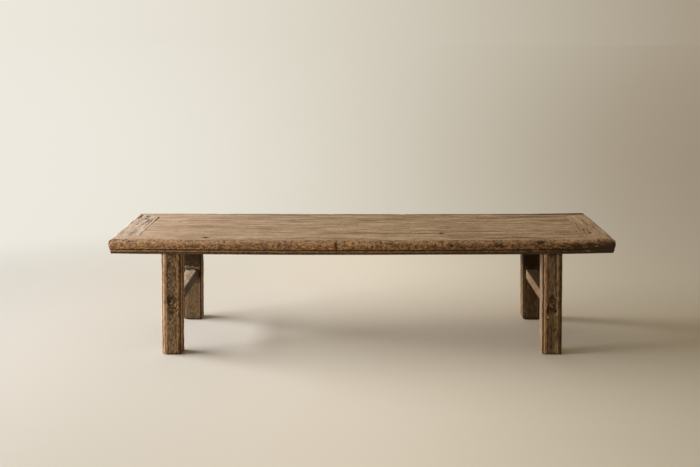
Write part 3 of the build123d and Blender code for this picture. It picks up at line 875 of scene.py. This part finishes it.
for number, name in enumerate(["left_batten", "middle_batten", "right_batten"]):
    low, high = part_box(name)
    middle = (low.x + high.x) / 2
    half = (high.x - low.x) / 2
    shoulder = high.z - key_height
    soft = 0.0025
    outline = np.vstack([
        chain(
            (-half, shoulder),
            ((-key_neck, shoulder), 4), ((-key_head, high.z), 2), ((key_head, high.z), 4),
            ((key_neck, shoulder), 2), ((half, shoulder), 4), ((half, low.z + soft), 8),
        ),
        arc((half - soft, low.z + soft), soft, 0.0, -90.0, 4),
        line((half - soft, low.z), (-half + soft, low.z), 14),
        arc((-half + soft, low.z + soft), soft, -90.0, -180.0, 4),
        line((-half, low.z + soft), (-half, shoulder), 8),
    ])
    stations = np.linspace(-half_depth + frame_width, half_depth - frame_width, 120)
    points, normals = carried(outline, stations, middle)
    free = outline[:, 1] < shoulder - 0.001
    height = (0.0007 * lumps(points, (26, 14, 26), 61 + number, 2) - 0.0004) * free
    points = points + normals * height[..., None]
    # Tenons: the outline shrinks to a smaller one on the same rays and runs on to the ends
    level = (low.z + shoulder) / 2
    ends = []
    for row, reach in ((points[:1], low.y), (points[-1:], high.y)):
        tenon = row.copy()
        tenon[..., 0] = middle + np.clip((row[..., 0] - middle) * 0.78, -0.015, 0.015)
        tenon[..., 2] = level + np.clip((row[..., 2] - level) * 0.5, -0.0065, 0.0065)
        tip = tenon.copy()
        tip[..., 1] = reach
        ends.append((tenon, tip))
    points = settled(np.concatenate([ends[0][1], ends[0][0], points, ends[1][0], ends[1][1]]))
    dust = 0.35 + 0.35 * lumps(points, (20, 8, 20), 64 + number, 2)
    dust = dust + 0.5 * (np.abs(points[..., 2] - points[..., 2].max()) < 0.008)
    piece = skin(name, points, {"grime_and_shade": dust, "rub_and_highlight": 0 * dust, "dry_and_lit": 0 * dust + 0.4}, batten_wood)
    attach(piece, "root")
    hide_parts(name)

# --- Legs ------------------------------------------------------------------------------------
# Four square elm legs, tenoned up into the long rails and leaning out a little. Three faces are
# sunk between half-round beads, with a notch down each corner, and the fourth, which takes the
# stretcher, is flat. The beads are rubbed bright and the fields hold the dirt; painted shade
# darkens parts turned from the light or under the top, and painted highlights brighten some
# parts turned to it.
leg_half = 0.031
leg_notch = 0.0045
leg_bead = 0.010
field_sink = 0.0018
leg_shoulder = front_low.z
splay = 0.004
leg_tenon = (0.019, 0.009, 0.032)
leg_from_end, leg_from_edge = 0.2, 0.038
leg_face, leg_back = 0.2515, 0.1915
leg_over_size = 0.0024
mortise_half_width, mortise_half_height, mortise_middle, mortise_sink = 0.0082, 0.0142, 0.166, 0.016
bead_over_size = 0.0026


def upright_cracks(y, rows):
    """Rows for checks in an upright face at y, from rows of x, z, x, z, half width and depth."""
    return [[row[0], y, row[1], row[2], y, row[3], row[4], row[5]] for row in rows]


def leg_side(fielded, mortised):
    """Points along one side of a leg, from notch to notch, and their depth below the face. A
    bead rises from the notch as a quarter round and slopes to the sunk field as a cubic step;
    a flat side has only a small round at each notch."""
    run = leg_half - leg_notch
    close = 0.001 * np.array([0.0, 0.4, 1.2, 2.4, 3.6, 4.8, 6.0, 7.0, 8.0, 9.0, 10.0, 11.0])
    across = np.concatenate([-run + close, np.linspace(-0.0150, 0.0150, 15), run - close[::-1]])
    if mortised:
        lips = np.array([mortise_half_width - 0.0006, mortise_half_width + 0.0003])
        across = np.sort(np.concatenate([across, lips, -lips]))
    inside = run - np.abs(across)
    if fielded:
        round_up = leg_notch - np.sqrt(np.clip(leg_notch**2 - (leg_notch - inside) ** 2, 0, None))
        step = np.clip((inside - 0.0056) / 0.0044, 0.0, 1.0)
        slope = field_sink * step * step * (3.0 - 2.0 * step)
        depth = np.where(inside < leg_notch, round_up, slope)
    else:
        corner = 0.0020
        left_over = corner - np.clip(inside, 0, corner)
        depth = corner - np.sqrt(np.clip(corner**2 - left_over**2, 0, None))
        depth = np.where(inside < 1e-9, leg_notch, depth)
    return across, depth, inside


def leg(name, side, way, seed, material, knocks, cracks, worn_foot, dirt, splinters=()):
    """A leg: the section of four sides is carried up a slightly leaning line. The foot is
    rounded over by a quarter circle, more at its outer corner, and the skin is moved by noise,
    knocks and cracks. A hole is sunk in the outer face for the end of the stretcher's tenon."""
    sections, insides, faces = [], [], []
    # Sides in turn: outer face along the table's depth, end face, face to the stretcher, inner
    turns = [((0, way), (1, 0)), ((1, 0), (0, -way)), ((0, -way), (-1, 0)), ((-1, 0), (0, way))]
    for number, (facing, right) in enumerate(turns):
        across, depth, inside = (row[:-1] for row in leg_side(number != 2, number == 0))
        sections.append(across[:, None] * right + (leg_half - depth[:, None]) * facing)
        insides.append(inside)
        faces.append(np.full(len(across), number))
    ring, inside, face = np.concatenate(sections), np.concatenate(insides), np.concatenate(faces)
    # The back legs have lost the notch of the corner that faces outwards and to the stretcher
    at_notch = np.abs(ring).min(axis=-1) > leg_half - leg_notch - hair
    outer_front = (side * ring[:, 0] > 0.0) & (way * ring[:, 1] < 0.0)
    blunt = at_notch & outer_front & (face != 0) & (way > 0)
    ring = ring + np.sign(ring) * (leg_notch - 0.0012) * blunt[:, None]
    normal = outward(ring)
    foot = np.array([0.0, 0.0006, 0.0014, 0.0025, 0.004, 0.006, 0.008])
    stations = np.concatenate([foot, np.linspace(0.0105, leg_shoulder, 132)])
    lips = mortise_middle + (mortise_half_height + np.array([0.0003, -0.0006])) * [[-1], [1]]
    stations = np.unique(np.concatenate([stations, lips.ravel()]))
    centre_x = side * (half_length - leg_from_end + splay * (1.0 - stations / leg_shoulder))
    centre_y = way * (half_depth - leg_from_edge)
    points = placed(centre_x[:, None] + ring[:, 0], centre_y + ring[:, 1], stations[:, None])
    normals = placed(normal[:, 0], normal[:, 1], 0.0)
    # Hand planing left the front legs 2.4 mm over size on the outside, the back ones inside,
    # and the bead on that side of the front legs about as much wider
    thick_side = np.clip(0.5 - 0.5 * way * side * ring[:, 0] / leg_half, 0.0, 1.0)
    wide_bead = leg_bead + bead_over_size * thick_side**2 * (way < 0) * (face == 0)
    in_field = (inside > wide_bead + 0.0005) & (face != 2)
    on_bead = (inside > 0.001) & (inside < wide_bead) & (face != 2)
    worn = np.clip(lumps(points, (30, 30, 16), seed + 3, 2) - 0.15, 0.0, None) * on_bead
    knocked = dents(strayed(points, 0.0015, 150.0, seed + 4), knocks)
    cracked = checks(points, cracks, 0.0010, seed + 5)
    raised = checks(points, splinters, 0.0006, seed + 9)
    height = (
        0.0004 * lumps(points, (12, 12, 5), seed, 2)
        + 0.00035 * lumps(points, (120, 120, 22), seed + 1, 2) * in_field
        + 0.00030 * lumps(points, (70, 70, 30), seed + 2, 2) * on_bead
        - 0.0014 * worn - knocked - cracked + raised
    )
    # The foot rounds over, its outer corner has worn away further, and the back legs are scuffed
    outer = np.clip((side * ring[:, 0] + way * ring[:, 1]) / (2 * leg_half), 0.0, 1.0) ** 6
    scuffed = 0.009 * np.clip(-ring[:, 0] / leg_half, 0.0, 1.0) ** 4 * (way > 0)
    radius = 0.0032 + worn_foot * outer + scuffed + 0.0012 * lumps(points, (40, 40, 1), seed + 6)
    short = np.clip(1.0 - stations[:, None] / radius, 0.0, 1.0)
    inset = radius * (1.0 - np.sqrt(np.clip(1.0 - short**2, 0.0, None)))
    points = points + normals * height[..., None]
    points[..., :2] -= ring / np.linalg.norm(ring, axis=-1, keepdims=True) * inset[..., None]
    points[..., 0] -= leg_over_size * side * way * thick_side
    beside = np.abs(ring[:, 0]) - mortise_half_width
    above = np.abs(stations - mortise_middle) - mortise_half_height
    hole = (beside < 0.0) & (face == 0) & (above < 0.0)[:, None]
    points[..., 1] -= way * mortise_sink * hole
    # The tenon: a plain block on the shoulder, its corners on the same rays as the notches
    tenon_ring = np.clip(ring / (leg_half - leg_notch), -1.0, 1.0) * leg_tenon[:2]
    tenon = np.broadcast_to(points[-1:], (2, *points.shape[1:])).copy()
    tenon[..., 0] = centre_x[-1] + tenon_ring[:, 0]
    tenon[..., 1] = centre_y + tenon_ring[:, 1]
    tenon[1, :, 2] += leg_tenon[2]

    # Grime fills the fields, notches and joints; painted shade darkens a band at the top of each
    # leg under the rail, the upper back legs under the table top, and the front legs' beads turned
    # from the light
    front, right = way < 0, side > 0
    towards = ring / leg_half
    rim = bell(np.clip(beside, 0, None), 0.0025) * bell(np.clip(above, 0, None), 0.0030)[:, None]
    fine = lumps(points, (290, 290, 130 - 60 * side), seed + 7, 2)
    low = np.clip(0.92 - (0.58 - 0.18 * side) * fine, 0.0, 2.2)
    even = 0.60 + 0.40 * low
    # Painted shade: a dark band at the top of each leg, just under the rail
    shade = bell(stations - leg_shoulder, 0.006)[:, None]
    sole = bell(stations, 0.006)[:, None]
    # Painted shade: the back legs darken from about 200 mm up, where the table top shades them
    shade_under_top = (0.80 - 0.20 * right) * rise(stations, 0.200, 0.010)[:, None] * (not front) * even
    # Painted shade on the right-hand bead of each front leg's front face, turned from the light
    in_shade = (0.56 + 0.24 * right) * (towards[:, 0] > 0.55) * (face == 0) * front
    # Painted highlight: the right front leg's inner face, turned to the light, loses grime and is
    # rubbed paler
    lit_inner_face = (face == 3) & right & front & (towards[:, 1] > -0.62)
    behind = right & front & (towards[:, 0] < -0.84) & (towards[:, 1] < -0.62)
    # Painted highlight along the crown of the left front leg's bead that faces the light
    lit_bead = (face == 0) & (towards[:, 0] < 0.0) & front & (not right)
    crown = bell(inside - 0.0072, 0.0024) * lit_bead
    rising = (0.88 + 0.30 * np.clip((stations - 0.05) / 0.25, 0.0, 1.0))[:, None]
    grime_and_shade = (
        0.42 * dirt * in_field * low * rising + 0.62 * (inside < 0.0010)
        + 0.40 * dirt * (face == 2) * even + 0.45 * rim * (face == 0) + 0.4 * shade
        + shade_under_top * np.where(face == 2, 1.0, 1.0 + 0.3 * side) + 0.10 * (face == 3) * (not front)
        + in_shade + 0.35 * behind - 0.30 * crown
        + 0.45 * sole * (1.0 - on_bead)
    )
    grime_and_shade = np.clip(grime_and_shade + filled(knocked, 0.0), 0.0, None) + filled(0.0, cracked) + hole
    grime_and_shade = grime_and_shade + 0.15 * bell(inside - 0.0112, 0.0012) * (face != 2)
    grime_and_shade = grime_and_shade * np.clip(1.0 - raised / 0.0006, 0.0, 1.0) * (1.0 - 0.8 * lit_inner_face)
    # Hands and cloths have rubbed the beads, less so on the right legs and the left legs' inner
    # faces; the rub is cut where painted shade falls on the beads, and painted highlights are added
    # on the right front leg's inner face and on the crown of the left front leg's lit bead
    rub_and_highlight = 0.90 * on_bead - 1.2 * worn + 0.3 * (face == 2) * (inside < 0.006)
    rub_and_highlight = rub_and_highlight * (1.0 - 0.9 * (in_shade > 0.0)) * (1.0 - 0.45 * (face == 0) * right) * (1.0 - behind)
    rub_and_highlight = rub_and_highlight * (1.0 - 0.6 * (face == 1) * (side < 0)) + 0.6 * lit_inner_face + 0.7 * crown
    rub_and_highlight = rub_and_highlight + 0.5 * lumps(points, (40, 40, 12), seed + 8, 2) * on_bead
    rub_and_highlight = np.clip(rub_and_highlight * (1.0 - np.clip(1.4 * shade_under_top, 0.0, 1.0)) + raised / 0.0005, 0.0, 1.0)
    greyed = np.broadcast_to(0.55 * in_field * front + 0.65 * (face == 2) * (not front), rub_and_highlight.shape)
    bare = np.zeros((2, len(ring)))
    grime_and_shade, rub_and_highlight, greyed = (np.concatenate([rows, bare]) for rows in (grime_and_shade, rub_and_highlight, greyed))
    facts = {"grime_and_shade": grime_and_shade, "rub_and_highlight": rub_and_highlight, "dry_and_lit": 0.30 * rub_and_highlight + 0.10 + greyed}
    piece = skin(name, np.concatenate([points, tenon]), facts, material)
    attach(piece, "root")
    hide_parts(name)


leg("front_left_leg", -1, -1, 81,
    elm("front left leg elm", "z", (0.1, 0.21, 0.55), 8.1, drawn=0.6),
    np.vstack([
        upright_dents(-leg_face, 0.01, [
            [-0.612, 0.18, 0.007, 0.009, 0.0022],
            [-0.598, 0.176, 0.006, 0.006, 0.0018],
            [-0.606, 0.14, 0.01, 0.005, 0.0014],
            [-0.613, 0.222, 0.0035, 0.005, 0.002],
            [-0.615, 0.26, 0.005, 0.03, 0.0009],
            [-0.618, 0.205, 0.004, 0.012, 0.0014],
            [-0.603, 0.17, 0.011, 0.008, 0.0014],
        ]),
        scattered(
            51, 44, (-0.634, -0.254, 0.02), (-0.570, -0.249, 0.32),
            (0.002, 0.006), (0.0004, 0.0012)),
    ]),
    [
        *upright_cracks(-leg_face, [
            [-0.616, 0.3, -0.612, 0.205, 0.0018, 0.0014],
            [-0.59, 0.12, -0.594, 0.03, 0.0016, 0.0012],
        ]),
        [-0.634, -0.222, 0.28, -0.634, -0.22, 0.12, 0.0018, 0.0014],
    ],
    worn_foot=0.008, dirt=1.45, splinters=upright_cracks(-leg_face, [
        [-0.618, 0.168, -0.611, 0.15, 0.0016, 0.0008],
        [-0.588, 0.1715, -0.593, 0.152, 0.0019, 0.001],
        [-0.5805, 0.162, -0.5885, 0.146, 0.0018, 0.0009],
        [-0.611, 0.144, -0.602, 0.136, 0.0015, 0.0006],
    ]),
)
sooty_elm = toned(aged_elm, 0.5, (0.14, 0.070, 0.022))
leg("front_right_leg", 1, -1, 97,
    elm("front right leg elm", "z", (0.1, -0.22, -0.55), 9.4, dry_elm, sooty_elm, drawn=0.3),
    np.vstack([
        upright_dents(-leg_face, 0.01, [
            [0.602, 0.181, 0.0042, 0.01, 0.0034],
            [0.59, 0.156, 0.004, 0.005, 0.0024],
            [0.588, 0.14, 0.005, 0.008, 0.0026],
            [0.601, 0.148, 0.008, 0.004, 0.0022],
            [0.611, 0.141, 0.006, 0.004, 0.0022],
        ]),
        scattered(
            52, 44, (0.570, -0.254, 0.02), (0.634, -0.249, 0.32),
            (0.002, 0.006), (0.0004, 0.0012)),
    ]),
    [
        *upright_cracks(-leg_face, [
            [0.612, 0.31, 0.61, 0.225, 0.0018, 0.0014],
            [0.6, 0.11, 0.602, 0.015, 0.0018, 0.0014],
        ]),
        [0.571, -0.222, 0.25, 0.571, -0.224, 0.09, 0.0018, 0.0014],
    ],
    worn_foot=0.004, dirt=1.45, splinters=upright_cracks(-leg_face, [
        [0.583, 0.166, 0.5866, 0.16, 0.0022, 0.0009],
        [0.587, 0.125, 0.593, 0.118, 0.0024, 0.0009],
        [0.611, 0.132, 0.619, 0.127, 0.0018, 0.0008],
    ]),
)
leg("back_left_leg", -1, 1, 113,
    elm("back left leg elm", "z", (0.1, 0.19, 0.58), 10.2, drawn=0.6),
    np.vstack([
        [-0.576, 0.1915, 0.164, 0.005, 0.01, 0.014, 0.0024],
        scattered(
            53, 40, (-0.634, 0.249, 0.02), (-0.570, 0.254, 0.32),
            (0.002, 0.006), (0.0004, 0.0014)),
        scattered(
            57, 30, (-0.632, 0.190, 0.200), (-0.572, 0.193, 0.325),
            (0.0016, 0.0034), (0.0010, 0.0024)),
    ]),
    upright_cracks(leg_face, [
        [-0.61, 0.3, -0.606, 0.215, 0.0018, 0.0014],
        [-0.598, 0.11, -0.596, 0.02, 0.0018, 0.0014],
    ]),
    worn_foot=0.009, dirt=1.40, splinters=upright_cracks(leg_back, [
        [-0.63, 0.1886, -0.6215, 0.1958, 0.0018, 0.001],
        [-0.6215, 0.1958, -0.6108, 0.187, 0.0018, 0.001],
        [-0.6108, 0.187, -0.6036, 0.193, 0.0016, 0.0009],
        [-0.6036, 0.193, -0.5929, 0.1862, 0.0018, 0.001],
        [-0.5929, 0.1862, -0.583, 0.1875, 0.0016, 0.0009],
    ]),
)
leg("back_right_leg", 1, 1, 131,
    elm("back right leg elm", "z", (0.1, -0.25, -0.52), 11.7, drawn=0.5),
    scattered(
        54, 40, (0.570, 0.249, 0.02), (0.634, 0.254, 0.32),
        (0.002, 0.006), (0.0004, 0.0014)),
    upright_cracks(leg_face, [
        [0.608, 0.29, 0.604, 0.205, 0.0018, 0.0014],
        [0.592, 0.12, 0.594, 0.03, 0.0018, 0.0014],
    ]),
    # Its higher dirt is partly real dirt and partly painted shade, deep under the far end of the
    # table top
    worn_foot=0.006, dirt=1.85,
)

# --- Side stretchers -------------------------------------------------------------------------
# One elm rail between the two legs of each end, its arrises rubbed round. A tenon at each end
# goes right through the leg and shows on the outer face as rough end grain with a gap round it.
stretcher_round = 0.004
stretcher_shoulder = half_depth - 0.069
stretcher_tenon = (0.008, 0.014)
# Their dry tones are raised, which makes the painted light on the left one's top and the right
# one's side pale
stretcher_wood = [
    elm("left stretcher elm", "y", (0, 0.6, -0.10), 12.3, toned(dry_elm, (1.11, 1.22, 1.36))),
    elm("right stretcher elm", "y", (0, -0.6, -0.12), 13.8, toned(dry_elm, (1.18, 1.24, 1.30))),
]
for right, name in enumerate(["left_stretcher", "right_stretcher"]):
    low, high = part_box(name)
    left = 1 - right
    middle, level = (low.x + high.x) / 2, (low.z + high.z) / 2
    half, tall = (high.x - low.x) / 2, (high.z - low.z) / 2
    soft = stretcher_round
    outline = np.vstack([
        line((half, -tall + soft), (half, tall - soft), 12),
        arc((half - soft, tall - soft), soft, 0.0, 90.0, 6),
        line((half - soft, tall), (-half + soft, tall), 13),
        arc((-half + soft, tall - soft), soft, 90.0, 180.0, 6),
        line((-half, tall - soft), (-half, -tall + soft), 12),
        arc((-half + soft, -tall + soft), soft, 180.0, 270.0, 6),
        line((-half + soft, -tall), (half - soft, -tall), 13),
        arc((half - soft, -tall + soft), soft, 270.0, 360.0, 6),
    ])
    stations = np.linspace(-stretcher_shoulder, stretcher_shoulder, 150)
    points, normals = carried(outline, stations, middle, level)
    across, up = np.abs(outline).T
    arris = (across > half - 0.8 * soft) & (up > tall - 0.8 * soft)
    worn = np.clip(lumps(points, (40, 22, 40), 145 + right, 2) - 0.1, 0.0, None) * arris
    knocked = dents(points, scattered(
        55 + right, 30, (low.x, -0.18, low.z), (high.x, 0.18, high.z),
        (0.003, 0.008), (0.0004, 0.0014)))
    height = 0.0006 * lumps(points, (16, 9, 16), 141 + right, 2) - 0.0003
    height = height + 0.00025 * lumps(points, (130, 14, 130), 143 + right, 2)
    height = height - 0.0018 * worn - knocked
    points = points + normals * height[..., None]
    # Each tenon: the outline drops to a rectangle, runs through the leg, and ends in shrinking
    # rings pushed in and out by noise, which is the broken end grain
    square = outline / np.maximum(across / half, up / tall)[:, None]
    box_ring = square / (half, tall) * stretcher_tenon
    caps = []
    for way, reach in ((-1, low.y), (1, high.y)):
        depth = np.full(9, abs(reach))
        depth[:3] = stretcher_shoulder, abs(reach) - 0.003, abs(reach) - 0.0008
        size = np.array([1.0, 1.0, 1.0, 0.93, 0.80, 0.62, 0.44, 0.26, 0.08])
        rings = placed(
            middle + size[:, None] * box_ring[:, 0],
            way * depth[:, None],
            level + size[:, None] * box_ring[:, 1],
        )
        rough = 0.0020 * np.clip(lumps(rings, 190.0, 147 + right + way, 2) + 0.35, 0.0, None)
        worn_top = [[middle, level + 0.008, 0.008, 0.006, 0.0045]]
        hollow = dents(rings, upright_dents(reach, 0.02, worn_top))
        rings[..., 1] -= way * (rough + hollow) * (size < 0.99)[:, None]
        caps.append(rings)
    points = np.concatenate([caps[0][::-1], points, caps[1]])
    # Painted light and shade: the left one's top is painted paler and cleaner where the light falls
    # on it, its other faces are darkened in painted shade, and its top darkens towards the back
    # end;
    # the right one's top is darkened in painted shade under the table top, and its side towards the
    # light has a painted highlight, cleaner, paler and rubbed
    bare = np.zeros((len(caps[0]), len(outline)))
    x, y, z = np.moveaxis(points, -1, 0)
    top_face = z > high.z - 0.003
    low_spots = np.clip(-lumps(points, (26, 10, 26), 149 + right, 3) - 0.1, 0.0, 1.0)
    near_leg = np.clip((np.abs(y) - stretcher_shoulder + 0.012) / 0.012, 0.0, 1.0)
    grime_and_shade = np.concatenate([bare + 0.80, knocked / 0.0016, bare + 0.80]) + 0.35 * low_spots
    grime_and_shade = grime_and_shade + 0.5 * near_leg * (np.abs(y) < stretcher_shoulder + 0.001)
    painted_light_on_top = 1.0 - 0.75 * right
    grime_and_shade = grime_and_shade * (1.0 - 0.7 * painted_light_on_top * top_face) + 0.60 * right * top_face
    grime_and_shade = grime_and_shade + 0.88 * left * (1.0 - top_face)
    cap_soil = np.clip(0.62 + 0.75 * lumps(points, 230.0, 161 + right, 2), 0.05, 1.0)
    grime_and_shade = np.where(np.abs(y) > stretcher_shoulder + 0.002, cap_soil, grime_and_shade)
    ragged = y - 0.168 + 0.012 * lumps(points, (150, 60, 150), 159, 2)
    grime_and_shade = grime_and_shade + 0.95 * np.clip(ragged / 0.003, 0.0, 1.0) * left * top_face
    # Painted highlight on the right one's side towards the light
    lit_side = np.clip((low.x + 0.004 - x) / 0.004, 0.0, 1.0) * right * (1.0 - top_face)
    grime_and_shade = grime_and_shade - 0.25 * lit_side + right * checks(points, [
        [low.x, 0.125, 0.176, low.x, 0.105, 0.158, 0.0022, 0.6],
        [low.x, 0.080, 0.172, low.x, 0.060, 0.156, 0.0022, 0.6],
    ])
    rub_and_highlight = np.concatenate([bare, 0.8 * arris - worn, bare]) + 0.35 * right * (x < low.x + 0.003)
    dry_and_lit = 0.15 + painted_light_on_top * top_face + 0.70 * lit_side
    facts = {"grime_and_shade": grime_and_shade, "rub_and_highlight": rub_and_highlight * (1.0 - top_face), "dry_and_lit": dry_and_lit}
    piece = skin(name, points, facts, stretcher_wood[right])
    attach(piece, "root")
    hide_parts(name)

# --- Stretcher wedges ------------------------------------------------------------------------
# A flat wedge in the end of each through tenon, split from paler wood. It was driven in from
# the face of the leg and its end is bruised by the hammer.
wedge_low, wedge_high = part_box("stretcher_wedges")
wedge_thick, wedge_tip, wedge_length, wedge_half_width = 0.0040, 0.0012, 0.024, 0.008
wedge_wood = elm(
    "wedge wood", "y", (0, 0.1, -0.1), 14.5, toned(dry_elm, 1.25), toned(aged_elm, 1.25))
wedge_x = wedge_high.x - wedge_half_width
wedge_z = (wedge_low.z + wedge_high.z) / 2
outline = chain(
    (-1.0, -1.0), ((1.0, -1.0), 12), ((1.0, 1.0), 5), ((-1.0, 1.0), 12), ((-1.0, -1.0), 5))
share = np.concatenate([np.linspace(0.0, 0.97, 10), np.ones(4)])
size = np.concatenate([np.ones(10), [0.94, 0.7, 0.4, 0.1]])
thick = (wedge_tip + (wedge_thick - wedge_tip) * share) / 2 * size
for number, (side, way) in enumerate([(-1, -1), (1, -1), (-1, 1), (1, 1)]):
    depth = way * (wedge_high.y - wedge_length * (1.0 - share))
    points = placed(
        side * wedge_x + size[:, None] * wedge_half_width * outline[:, 0],
        depth[:, None],
        wedge_z + thick[:, None] * outline[:, 1],
    )
    bruise = 0.0008 * np.clip(lumps(points, 260.0, 151 + number, 2) + 0.2, 0.0, None)
    points[..., 1] -= way * bruise * (share[:, None] > 0.99)
    soil = 0.75 + 0.5 * lumps(points, 200.0, 155 + number, 2)
    facts = {"grime_and_shade": soil, "rub_and_highlight": 0 * soil, "dry_and_lit": 0 * soil + 0.8}
    piece = skin(f"stretcher_wedge_{number + 1}", points, facts, wedge_wood)
    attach(piece, "root")
    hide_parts("stretcher_wedges")

# --- Floor, light and camera -----------------------------------------------------------------
# A pale floor whose tone carries painted light and shade along x, and which away from the table
# glows in the tones of the backdrop; a backdrop painted paler at the left and deeper at the
# right, a painted fall of light; one broad soft light from the left, low enough to reach under
# the top, with two smaller fills and a low sun; and a camera a little above the table.
floor_reach = 60.0
floor_tone = (0.640, 0.584, 0.494)
backdrop_painted_falloff = [
    (0.00, (0.85, 0.82, 0.745)),
    (0.28, (0.86, 0.83, 0.745)),
    (0.50, (0.70, 0.65, 0.545)),
    (0.72, (0.355, 0.293, 0.208)),
    (1.00, (0.22, 0.172, 0.115)),
]
# Painted light and shade on the floor: its tone is scaled along x, dark near the window lamp,
# brightest under the middle of the table and lower to the right, where it is also warmer
floor_painted_light = [
    (0.00, 0.08), (0.10, 0.16), (0.20, 0.36), (0.30, 0.66), (0.40, 0.83),
    (0.50, 1.19), (0.60, 1.04), (0.70, 0.86), (0.83, 0.78),
]
steps = np.geomspace(floor_reach, 0.5, 24)
steps = np.concatenate([-steps, [0.0], steps[::-1]])
floor_points = placed(steps[:, None], steps, 0.0).reshape(-1, 3)
count = len(steps)
corner = (np.arange(count - 1)[:, None] * count + np.arange(count - 1)).ravel()
floor_faces = np.stack([corner, corner + count, corner + count + 1, corner + 1], axis=-1)
floor_mesh = bpy.data.meshes.new("floor")
floor_mesh.from_pydata(floor_points.tolist(), [], floor_faces.tolist())
floor = bpy.data.objects.new("floor", floor_mesh)
scene.collection.objects.link(floor)


def tones_along_x(tree, vector, reach, stops):
    """A smooth run of tones by the x share of a vector, from -reach to reach."""
    span = node(tree, "ShaderNodeMapRange", {
        "Value": node(tree, "ShaderNodeSeparateXYZ", {0: vector}).outputs["X"],
        "From Min": -reach, "From Max": reach,
    })
    return tone_ramp(tree, span.outputs["Result"], stops, "B_SPLINE")


def backdrop_colour(tree, direction):
    """The backdrop, a painted fall of light: paler at the left and deeper at the right, by the
    direction's share of x.
    """
    unit = node(tree, "ShaderNodeVectorMath", {0: direction}, operation="NORMALIZE")
    return tones_along_x(tree, unit.outputs["Vector"], 0.62, backdrop_painted_falloff)


def seen(tree):
    """1 for rays from the camera, from gloss and through glass, which see the backdrop."""
    path = node(tree, "ShaderNodeLightPath", {}).outputs
    seen_by = path["Is Camera Ray"]
    for other in ("Is Glossy Ray", "Is Transmission Ray"):
        sockets = {0: seen_by, 1: path[other]}
        seen_by = node(tree, "ShaderNodeMath", sockets, operation="MAXIMUM").outputs[0]
    return seen_by


plaster = bpy.data.materials.new("pale floor")
plaster.use_nodes = True
tree = plaster.node_tree
ground = tree.nodes["Principled BSDF"]
ground.inputs["Roughness"].default_value = 0.90
ground.inputs["Specular IOR Level"].default_value = 0.04
spot = node(tree, "ShaderNodeTexCoord", {}).outputs["Object"]
floor_painted_tones = [
    (place, tuple(depth * np.array(floor_tone) * (1.0, 1.0 - 0.03 * place, 1.0 - 0.12 * place)))
    for place, depth in floor_painted_light
]
tree.links.new(tones_along_x(tree, spot, 3.0, floor_painted_tones), ground.inputs["Base Color"])
# Away from the table the floor turns into the backdrop, for the rays that see it
about = node(tree, "ShaderNodeVectorMath", {0: spot, 1: (0.0, 0.7, 0.0)}, operation="ADD")
far = node(tree, "ShaderNodeVectorMath", {0: about.outputs["Vector"]}, operation="LENGTH")
fade = node(tree, "ShaderNodeMapRange", {
    "Value": far.outputs["Value"], "From Min": 1.6, "From Max": 3.0,
}, interpolation_type="SMOOTHSTEP")
share = node(tree, "ShaderNodeMath", {
    0: fade.outputs["Result"], 1: seen(tree),
}, operation="MULTIPLY")
raised = node(tree, "ShaderNodeVectorMath", {0: spot, 1: (0.0, 0.0, 4.5)}, operation="ADD")
glow = node(tree, "ShaderNodeEmission", {"Color": backdrop_colour(tree, raised.outputs["Vector"])})
both = node(tree, "ShaderNodeMixShader", {
    0: share.outputs[0], 1: ground.outputs[0], 2: glow.outputs[0],
})
tree.links.new(both.outputs[0], tree.nodes["Material Output"].inputs["Surface"])
floor_mesh.materials.append(plaster)

world = bpy.data.worlds.new("studio air")
scene.world = world
world.use_nodes = True
tree = world.node_tree
ambient = tree.nodes["Background"]
ambient.inputs["Color"].default_value = (1.0, 0.85, 0.61, 1.0)
ambient.inputs["Strength"].default_value = 0.345
look = node(tree, "ShaderNodeTexCoord", {}).outputs["Generated"]
backdrop = node(tree, "ShaderNodeBackground", {"Color": backdrop_colour(tree, look)})
either = node(tree, "ShaderNodeMixShader", {
    0: seen(tree), 1: ambient.outputs[0], 2: backdrop.outputs[0],
})
tree.links.new(either.outputs[0], tree.nodes["World Output"].inputs["Surface"])


def softbox(name, place, target, wide, tall, watts, colour):
    """A rectangular lamp of the given size and power, turned to face its target."""
    lamp = bpy.data.lights.new(name, "AREA")
    lamp.shape = "RECTANGLE"
    lamp.size = wide
    lamp.size_y = tall
    lamp.energy = watts
    lamp.color = colour
    holder = bpy.data.objects.new(name, lamp)
    holder.location = place
    aim = np.array(target) - np.array(place)
    aim = aim / np.linalg.norm(aim)
    tilt, heading = math.asin(aim[2]), math.atan2(aim[1], aim[0])
    holder.rotation_euler = (math.pi / 2 + tilt, 0.0, heading - math.pi / 2)
    scene.collection.objects.link(holder)


softbox("window", (-3.2, 0.0, 1.2), (0.0, 0.0, 0.3), 3.0, 1.0, 200.0, (0.93, 1.0, 1.17))
softbox("left fill", (-2.1, -1.5, 0.9), (-0.3, 0.0, 0.3), 1.4, 0.7, 12.0, (1.0, 0.98, 0.95))
softbox("back fill", (-0.6, 2.2, 1.1), (-0.2, 0.0, 0.1), 2.4, 0.8, 10.0, (1.0, 0.97, 0.92))

low_light = bpy.data.lights.new("low light", "SUN")
low_light.angle = math.radians(28.0)
low_light.energy = 1.3
low_light.color = (1.0, 0.94, 0.82)
low_lamp = bpy.data.objects.new("low light", low_light)
low_lamp.rotation_euler = (math.radians(75.0), 0.0, math.radians(-100.0))
scene.collection.objects.link(low_lamp)

camera_data = bpy.data.cameras.new("camera")
camera_data.sensor_width = 36.0
camera_data.lens = 59.25
camera_data.shift_x = -0.0171
camera_data.shift_y = -0.11
camera = bpy.data.objects.new("camera", camera_data)
camera.location = (0.0, -3.825, 1.0396)
camera.rotation_euler = (math.radians(90.0 - 6.459), 0.0, 0.0)
scene.collection.objects.link(camera)
scene.camera = camera
scene.view_settings.view_transform = "Standard"
